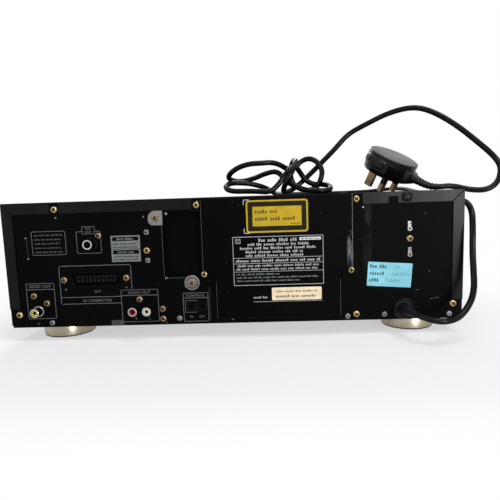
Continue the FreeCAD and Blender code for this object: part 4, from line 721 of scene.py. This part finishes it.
def panel_lances(form):
    """Bright lanced tabs, slot ends and pips that stand a little out of the rear panel."""
    # slots and dimples in these tabs take the darker recess metal: painted shade
    for x, z in ((-162.3, 99.4), (-162.7, 76)):
        slab(form, rounded((x - 1, z - 1), (x + 2, z + 4.6), 0.5, 3), REAR, REAR + 0.7, 2)
        slab(form, rounded((x - 0.5, z + 1.6), (x + 0.4, z + 3.6), 0.3, 2), REAR + 0.7,
             REAR + 0.73, 1)
        stud(form, [(2.3, 0, 2), (2.3, 0.6, 2), (2, 0.9, 2), (1.2, 0.9, 2), (1, 0.4, 1),
                    (0, 0.3, 1)], x + 0.2, z - 2.2, 24)
    for x, z in ((76.6, 101.2), (76.8, 75.2)):
        slab(form, rounded((x - 2.3, z - 2.2), (x + 2, z + 2.2), 1.2, 4), REAR, REAR + 0.6, 2)
        stud(form, [(1.2, 0.61, 1), (1.1, 0.66, 1), (0, 0.66, 1)], x + 0.5, z - 0.3, 20)
    # earth tab that shows along the lower edge
    slab(form, rounded((102.4, 14.6), (114.6, 19.4), 0.4, 2), REAR, REAR + 0.4, 3)
    # its dimple takes the darker recess metal: painted shade
    stud(form, [(1.2, 0.42, 1), (1.1, 0.46, 1), (0, 0.46, 1)], 108.2, 17.2, 20)
    pips = ((189.4, 98.7, 0.9), (188.6, 79.6, 0.9), (159.6, 116.7, 0.9), (78.5, 115.4, 0.8),
            (57.6, 117.4, 1.3), (-120.5, 117.8, 0.9), (28.8, ROOF - 3.4, 0.7), (0.4, 17.8, 0.9),
            (98.3, 50.4, 0.7), (155.4, 49.6, 0.7), (43, 49.8, 0.8), (109.8, 93.4, 0.6),
            (62.4, 15.8, 0.5), (184.6, 17.6, 0.7))
    for x, z, radius in pips:
        stud(form, [(radius, 0, 2), (radius * 0.9, 0.25, 2), (0, 0.4, 2)], x, z, 16)


# ---- printing and stickers

def on_rear(u, z):
    """A place on the rear panel, from its distance right of the middle as seen from behind."""
    return -u, z + UNDERSIDE


def mesh_of(curve):
    """The mesh that a curve makes; the curve itself is removed."""
    holder = bpy.data.objects.new("holder", curve)
    mesh = bpy.data.meshes.new_from_object(holder)
    bpy.data.objects.remove(holder)
    bpy.data.curves.remove(curve)
    return mesh


def word(form, text, u, z, height, width, level, facing=-1):
    """Plain capitals set between u and u + width; facing is -1 on the rear, 1 on the front."""
    curve = bpy.data.curves.new("word", "FONT")
    curve.body = text
    curve.resolution_u = 2
    mesh = mesh_of(curve)
    across = [vert.co.x for vert in mesh.vertices]
    start, wide = min(across), max(across) - min(across)
    tall = max(vert.co.y for vert in mesh.vertices)
    base = z + (UNDERSIDE if facing < 0 else 0)
    for vert in mesh.vertices:
        along = u + (vert.co.x - start) * width / wide
        vert.co = Vector((facing * along, level, base + vert.co.y * height / tall)) * MM
    form.from_mesh(mesh)
    bpy.data.meshes.remove(mesh)


def frame_of(form, u0, z0, u1, z1, radius=1.6, width=0.42, level=REAR + PRINT, material=0):
    """A printed frame between two places of the rear panel."""
    line_box(form, on_rear(u1, z0), on_rear(u0, z1), radius, width, level, material)


def rule(form, u0, u1, z0, z1, level=REAR + PRINT, material=0):
    """A printed line or block on the rear panel."""
    bar(form, -u1, -u0, z0 + UNDERSIDE, z1 + UNDERSIDE, level, material)


def small_print(form, u0, u1, z, height, level=REAR + PRINT, material=0):
    """A row of plain dashes on the rear panel."""
    dashes(form, -u1, -u0, z + UNDERSIDE, height, level, material)


def panel_print(form):
    """Frames and plain words for the sockets left of the cover."""
    level = REAR + PRINT
    over, top = level + OVERPRINT, level + 2 * OVERPRINT
    for row, u1 in enumerate((-154.5, -155.5, -157.5, -156.5, -154)):
        small_print(form, -181.5, u1, 86.4 - 3.9 * row, 1.3, level, 3)
    rule(form, -136.3, -124.3, 87, 94, over, 2)
    for box in ((-184, 68.5, -152, 90.7), (-142, 69, -119, 89.6), (-193.5, 8.2, -166.5, 42.2),
                (-104, 3.2, -69, 34), (-46, 2.3, -22.5, 29.7, 1.2),
                (-44.3, 11, -33, 22.4, 0.3, 0.4), (-136.3, 87, -124.3, 94, 0.5, 0.42, top)):
        frame_of(form, *box)
    # lines under headings, and the sides of the wide frame that the next one cuts into
    for sides in ((-193.2, -166.8, 36.1, 36.6), (-160, -94, 57.5, 58), (-161, -160.5, 22.5, 57),
                  (-93.5, -93, 34, 57), (-160, -104, 21.5, 22), (-160.5, -104, 27.8, 28.3),
                  (-103.7, -69.3, 28.3, 28.8), (-45.7, -22.8, 24.4, 24.9)):
        rule(form, *sides)
    for text, u, z, height, width in (
            ("VIDEO OUT", -191, 37.9, 2.6, 21.5), ("OUT", -129, 32.2, 2, 6.4),
            ("AV CONNECTOR", -140.5, 23.4, 2.5, 27.5), ("AUDIO OUT", -97.5, 30, 2.4, 21),
            ("R", -91.6, 5.4, 2, 1.5), ("L", -78.6, 5.4, 2, 1.3),
            ("CONTROL", -43.6, 25.8, 2.3, 18.5), ("IN", -40.2, 6, 1.9, 2.8),
            ("OUT", -31.6, 6, 1.9, 5.4)):
        word(form, text, u, z, height, width, level)
    word(form, "RF", -132.6, 91, 1.7, 4.6, top)
    word(form, "OUT", -133.6, 88.3, 1.5, 6.6, top)
    # printed block of plain rows
    rule(form, -110, -83, 60.4, 84.7, level, 1)
    for z0, z1 in ((79.8, 83.4), (67.6, 71.2)):
        rule(form, -108.6, -84.4, z0, z1, over, 2)
        small_print(form, -104.5, -89, z0 + 0.9, 1.8, top, 1)
    for z in (76.4, 73.4, 64.6, 61.9):
        small_print(form, -108, -85, z, 1.3, over, 2)
    rule(form, -110, -83, 72.1, 72.5, over, 2)


def edge_highlights_and_scuffs(form):
    """Painted highlights as light lines along the rims of the recess and of the cover, and a few
    light scuffs.
    """
    # painted highlights: light lines along edges, in the dimmer and the brighter line finish
    for x0, x1, z0, z1, level, material in (
            (62, 62.4, 60.5, 117.5, REAR, 0), (31, 61, 57.8, 58.15, REAR, 0),
            (59.4, 61.6, 57.3, 59.2, REAR + OVERPRINT, 1), (25, 25.35, 64, 129, COVER, 0),
            (-110.35, -109.95, 64, 130.2, COVER, 1), (-99.3, -99, 20, 54, COVER, 0),
            (13.6, 13.9, 20, 54, COVER, 0), (188.5, 188.75, 81, 97.5, REAR, 0),
            (21, 21.3, 17, 48.5, REAR, 0)):
        bar(form, x0, x1, z0, z1, level + PRINT, material)
    # light scuffs on the panel
    for x, z, long in ((-189, 33.4, 4.2), (-183.5, 32.6, 2.4), (-171, 41, 3),
                       (-176.5, 110.6, 1.6), (-166, 62.3, 1.2), (-181, 58.2, 2)):
        bar(form, x, x + long, z, z + 0.28, REAR + PRINT, 1)


def lip_boss(form):
    """Low rounded boss on the upper lip, beside its notch."""
    skin(form, [ring_at(form, rounded((-163.9, 121.6), (-154.3, 129.9), 3.4 - inset,
                                      inset=inset), REAR + rise)
                for inset, rise in ((0, 0.9), (0, 1.1), (0.5, 1.7), (1.3, 2.2), (2.3, 2.45),
                                    (3.3, 2.5))], ends=(-1,))


def cover_print(form):
    """Framed plate of plain rows on the cover, with its ruled divisions."""
    level = COVER + PRINT
    frame_of(form, 2.4, 35.8, 84.2, 80.5, 0.6, 0.5, level)
    for z in (61.1, 56, 48.5):
        rule(form, 2.8, 83.8, z - 0.2, z + 0.2, level)
    rule(form, 62.8, 82, 76.2, 78.8, level, 1)
    small_print(form, 64.4, 80.6, 76.9, 1.3, level + OVERPRINT, 2)
    frame_of(form, 5, 74.4, 9.6, 78.6, 0.3, 0.4, level)
    frame_of(form, 6.1, 75.4, 8.5, 77.6, 0.3, 0.3, level)
    rows = ((26, 60, 75.6, 2.9), (16, 72, 72.2, 2.3), (9, 77, 68.8, 2.3), (14, 66, 65.4, 2.3),
            (14, 66, 62.1, 2.3), (5, 81, 57.4, 2.4), (6, 81, 53, 1.9), (5, 81, 49.9, 1.9),
            (5, 44, 45.4, 1.5), (5, 79, 42.4, 1.5), (5, 62, 39.4, 1.5))
    for u0, u1, z, height in rows:
        small_print(form, u0, u1, z, height, level, 0 if height > 1.6 else 3)
    small_print(form, 20, 34, 23.6, 2, level)
    rule(form, 20, 82.6, 20.3, 20.7, level)
    # corner marks beside the yellow plate
    for z0, z1, z2, z3 in ((83.4, 83.9, 83.4, 88), (113.2, 113.7, 109, 113.7)):
        rule(form, 13.2, 18.5, z0, z1, level, 1)
        rule(form, 13.2, 13.7, z2, z3, level, 1)


def yellow_plate(form):
    """Yellow plate with a dark band inside its border and plain rows."""
    ink = COVER + STICKER
    (x0, z0), (x1, z1) = on_rear(71, 83.8), on_rear(15.5, 113)
    border = 1.5
    slab(form, rounded((x0, z0), (x1, z1), 2.6), COVER, ink - OVERPRINT)
    line_box(form, (x0 + border, z0 + border), (x1 - border, z1 - border), 1.6, 4.3, ink, 1)
    for u0, u1, z, height in ((23.4, 44, 101.2, 3.2), (23.4, 63.6, 94.6, 3.2),
                              (55, 63.6, 90.8, 1.2)):
        small_print(form, u0, u1, z, height, ink, 2)


def number_sticker(form):
    """Cream paper sticker with two rows of plain marks."""
    ink = COVER + STICKER + OVERPRINT
    slab(form, rounded(on_rear(82.1, 21.5), on_rear(36.8, 33.3), 1.2), COVER, COVER + STICKER)
    small_print(form, 41, 78, 28.9, 1.8, ink, 1)
    small_print(form, 40, 79, 24, 2.6, ink, 1)


def job_sticker(form):
    """Light blue sticker, stuck on a little askew, with plain rows and pencilled strokes."""
    ink = REAR + STICKER + OVERPRINT
    pitch = 6.4
    slab(form, rounded((-20, -11.1), (20, 11.1), 0.5, 3), REAR, REAR + STICKER)
    for row, stop in enumerate((3, 5.5, 9)):
        dashes(form, stop, 18, 5.7 - pitch * row, 3.1, ink, 1)
    for row, (x, stop, tall) in enumerate(((-8, -2.5, 3.1), (-17, -1, 2.9), (-9, 3, 3.4))):
        base = 5.6 - pitch * row
        while x < stop:
            lean = random.uniform(0.3, 1.2)
            patch(form, ((x, base), (x + 0.28, base), (x + 0.28 - lean, base + tall),
                         (x - lean, base + tall)), ink, 2)
            x += random.uniform(0.9, 1.7)
    swing = Matrix.Rotation(radians(-4), 3, "Y")
    centre = Vector((-144.3, 0, 55.8)) * MM
    for vert in form.verts:
        vert.co = swing @ vert.co + centre


# ---- strain relief and plug

def cord_line(data):
    """Points along the cord's own smooth line, in metres, from the gland to the plug."""
    thread = data.copy()
    thread.bevel_depth = 0
    mesh = mesh_of(thread)
    line = [vert.co.copy() for vert in mesh.vertices]
    bpy.data.meshes.remove(mesh)
    return line


def ribbed_boot(form, line, length, thick, thin, ribs):
    """Tapered sleeve along the start of a line, with ribs round it."""
    path = [line[0]]
    for spot in line[1:]:
        if (spot - path[-1]).length > 0.4 * MM:
            path.append(spot)
    travelled = [0]
    for first, second in zip(path, path[1:]):
        travelled.append(travelled[-1] + (second - first).length)
    count = 8 * ribs
    side = (path[1] - path[0]).normalized().orthogonal().normalized()
    rings = []
    for step in range(count + 1):
        distance = length * MM * step / count
        k = next(k for k in range(1, len(path)) if travelled[k] >= distance)
        share = (distance - travelled[k - 1]) / (travelled[k] - travelled[k - 1])
        centre = path[k - 1].lerp(path[k], share)
        ahead = (path[k] - path[k - 1]).normalized()
        side = (side - ahead * side.dot(ahead)).normalized()
        other = ahead.cross(side)
        radius = thick + (thin - thick) * step / count
        if 0 < step < count and step % 8 > 4:
            radius -= 0.35
        rings.append([form.verts.new(centre + (side * across + other * up) * radius * MM)
                      for across, up in circle(28)])
    skin(form, rings)


def gland_boot(line):
    """Moulded strain relief: neck and flange in the panel, fluted cup and tapered boot."""
    form = bmesh.new()
    stud(form, [(0, -12), (7, -12), (7, 0, 2), (9.6, 0, 2), (9.6, 1.6, 2), (9.2, 2.3, 2),
                (8.7, 2.3), (8.2, 0.9), (6.9, 0.5), (5.6, 0.7), (4.9, 2.6), (4.2, 6),
                (4, 10), (0, 10)], GLAND_X, GLAND_Z, 72)
    for up, across in circle(14):
        stud(form, [(0.55, 0.4), (0.5, 1.9), (0, 2)], GLAND_X + 7.2 * across,
             GLAND_Z + 7.2 * up, 10)
    # painted highlight: a crescent of the dull washer metal along the lower side of the flange
    arc = [radians(a) for a in range(118, 263, 5)]
    edge = [(GLAND_X + reach * sin(a), GLAND_Z + reach * cos(a))
            for reach, way in ((9.75, arc), (9.25, arc[::-1])) for a in way]
    slab(form, edge, REAR + 0.1, REAR + 1.2, 1)
    ribbed_boot(form, line, 16, 4, 2.95, 5)
    dress("gland_boot", form, "plug_black", ("gland_black", "dull_washer", "plug_black"),
          "cord_gland")


PLUG_MIDDLE = (-158, 124, 151.9)
PLUG_RADIUS = 25
PLUG_TURN = (Matrix.Rotation(radians(-21), 3, "Y") @ Matrix.Rotation(radians(-22), 3, "X")
             @ Matrix.Rotation(radians(137), 3, "Z"))


def plug_pad(form, angles, levels, height, material=0):
    """A raised field on the plug's round wall between two angles and two levels."""
    columns, rows = 20, 6
    grid = []
    for i in range(columns + 1):
        angle = radians(angles[0] + (angles[1] - angles[0]) * i / columns)
        grid.append([])
        for j in range(rows + 1):
            level = levels[0] + (levels[1] - levels[0]) * j / rows
            reach = PLUG_RADIUS + (-0.3 if i in (0, columns) or j in (0, rows) else height)
            grid[i].append(form.verts.new((reach * cos(angle), reach * sin(angle), level)))
    for left, right in zip(grid, grid[1:]):
        for j in range(rows):
            face = form.faces.new((left[j], right[j], right[j + 1], left[j + 1]))
            face.material_index = material


def loft(form, sections):
    """Rounded-rectangle sections (distance along X, half width, half height, level, corner)."""
    skin(form, [[form.verts.new((x, y, z)) for y, z in
                 rounded((-wide, level - tall), (wide, level + tall), corner, 4)]
                for x, wide, tall, level, corner in sections])


def loft_box(form, low, high):
    """A box with rounded upright edges between two corners."""
    outline = rounded(low[:2], high[:2], 0.4, 2)
    skin(form, [[form.verts.new((x, y, z)) for x, y in outline] for z in (low[2], high[2])])


def plug_shell(line):
    """Three-pin plug: base and cap with a parting groove, side fields, cord outlet, sleeves."""
    form = bmesh.new()
    profile = [(0, -2.4), (23.2, -2.4), (23.9, -1.9), (24.8, 1.2), (24.9, 2), (24.3, 2.3),
               (24.3, 2.9), (25, 3.2), (25, 14.2), (24.6, 14.4), (24.6, 14.9), (25, 15.1),
               (25, 16.3), (24.7, 16.8), (24.2, 17), (22.8, 17.1), (12, 17.4), (0, 17.5)]
    rings = [[form.verts.new((radius * across, radius * up, level))
              for across, up in (circle(72) if radius else [(0, 0)])]
             for radius, level in profile]
    skin(form, rings, ends=())
    plug_pad(form, (-138, -70), (4, 13.4), 1.2)
    plug_pad(form, (-132, -112), (5.8, 11.6), 1.9)
    plug_pad(form, (-106, -76), (5.8, 11.6), 1.8)
    plug_pad(form, (-64, -26), (0.2, 12.2), 0.25, 1)
    plug_pad(form, (66, 132), (4, 13.4), 0.9)
    plug_pad(form, (156, 204), (4, 13.4), 0.9)
    loft(form, [(20, 8.4, 6.4, 5.4, 1.8), (26.4, 8.2, 6.2, 5.5, 1.8), (28.6, 7.4, 5.3, 6, 2.4),
                (29.4, 4.8, 4.2, 6.9, 3.2), (34.5, 3.9, 3.9, 7, 3.6)])
    # insulating sleeves on the flat pins and the fuse carrier in the pin face
    for y in (11.1, -11.1):
        loft_box(form, (8.2 - 2.12, y - 3.3, -9.5), (8.2 + 2.12, y + 3.3, -2.4))
    loft_box(form, (-7.5, -3.6, -2.8), (3.5, 3.6, -2.4))
    for vert in form.verts:
        vert.co = (PLUG_TURN @ vert.co + Vector(PLUG_MIDDLE)) * MM
    ribbed_boot(form, line[::-1], 21, 3.8, 2.95, 6)
    return dress("plug_shell", form, "plug_black", ("plug_black", "socket_black"), "plug_body", 28)


# ---- feet and front

def feet():
    """Round feet: a rubber pad in a spun metal-look skirt with upright sides."""
    upright = Matrix.Rotation(radians(90), 3, "X")
    for end, y in (("rear", 148), ("front", -148)):
        for side, x in (("left", -171), ("right", 171)):
            form = bmesh.new()
            turn(form, [(0, 3.4, 1), (4, 3.4, 1), (4.6, 0.3, 1), (15.2, 0.3, 1), (15.6, 0, 1),
                        (23.7, 0, 1), (24.1, 0.4, 1), (24.1, 1.1, 1), (24.3, 1.2), (24.6, 1.6),
                        (24.6, 12.9), (24.2, 13.7), (23.4, 14), (0, 14)], (x, y, 0), upright, 96)
            foot = f"foot_{end}_{side}"
            dress(foot + "_shell", form, "champagne_foot", ("champagne_foot", "belt_rubber"), foot)


def front_print(form):
    """Plain words and signs by the keys, on the fascia."""
    level = FRONT_PRINT
    word(form, "POWER", -182, 51.6, 1.9, 11.5, level, 1)
    word(form, "OPEN / CLOSE", -131, 51.6, 1.9, 22, level, 1)
    patch(form, [(-122, 56), (-118, 56), (-120, 58.6)], level)
    bar(form, -122, -118, 54.8, 55.4, level)
    bar(form, 102.6, 105.4, 53.8, 56.6, level)
    patch(form, [(134.4, 56), (134.4, 59.4), (137.6, 57.7)], level)
    for x, way in ((98, -1), (120, 1)):
        for shift in (-1.3, 1.3):
            start = x + shift - way * 1.1
            patch(form, [(start, 35.6), (start, 38.2), (start + way * 2.4, 36.9)], level)
        edge = x + way * 2.9
        bar(form, min(edge, edge + way * 0.4), max(edge, edge + way * 0.4), 35.6, 38.2, level)
    line_box(form, (-80, 36), (80, 68), 2.2, 0.45, level)


def display_digits(form):
    """Unlit time digits that show faintly through the smoked window."""
    base, tall, wide, thick = 47, 9, 5, 0.8
    middle = tall / 2
    strokes = ((0, tall, wide, tall + thick), (0, 0, wide, thick),
               (0, middle, wide, middle + thick), (-thick, middle + 1, 0, tall),
               (-thick, 1, 0, middle),
               (wide, middle + 1, wide + thick, tall), (wide, 1, wide + thick, middle))
    for x in (-52, -43, -24, -15, 4, 13, 32, 41):
        for x0, z0, x1, z1 in strokes:
            bar(form, x + x0, x + x1, base + z0, base + z1, FRONT_PRINT)
    for x in (-5, 23):
        for z in (50, 54):
            bar(form, x - 0.2, x + 0.8, z, z + 1, FRONT_PRINT)


# ---- assembly

set_camera()
lay_cord()
set_light()
lay_floor()
finish_cad_nodes()
screw_heads("gold_screw_heads", "gold_screws", "gold_zinc", [(GOLD_SCREWS, REAR)])
screw_heads("copper_screw_heads", "copper_screws", "copper_plate",
            [(COPPER_SCREWS, REAR), (WASHER_SCREWS, REAR + WASHER_THICK)])
add_drawn(rivets_and_washers, "nickel", *SMALL_METALS, stands_for="panel_rivets")
phono_jack("video_jack", 181.8, 30.1, "yellow_jack", "nickel", 5, 3.6)
phono_jack("audio_jack_red", 91, 29.1, "red_jack", "socket_black", 5.4)
phono_jack("audio_jack_white", 78, 29.1, "white_jack", "socket_black", 5.4)
add_drawn(aerial_socket, "socket_black", "socket_black", "dull_washer")
add_drawn(scart_contacts, "socket_black", "contact_metal")
add_drawn(control_mouths, "socket_black", "socket_black", "dull_washer")
add_drawn(panel_lances, "nickel", *SMALL_METALS)
add_drawn(panel_print, "black_enamel", "print_frame", "print_grey", "black_enamel", "print_dim")
add_drawn(edge_highlights_and_scuffs, "black_enamel", "dim_edge_highlight", "edge_highlight_and_scuff")
add_drawn(lip_boss, "bonnet_enamel", "bonnet_enamel", smooth_angle=60)
add_drawn(cover_print, "black_enamel", "print_white", "print_bright", "black_enamel", "print_grey")
add_drawn(yellow_plate, "black_enamel", "sticker_yellow", "sticker_ink", "brown_ink")
add_drawn(number_sticker, "black_enamel", "sticker_cream", "pale_ink")
add_drawn(job_sticker, "black_enamel", "sticker_blue", "blue_ink", "pencil")
feet()
add_drawn(front_print, "front_moulding", "print_white")
add_drawn(display_digits, "smoked_window", "dim_segments")
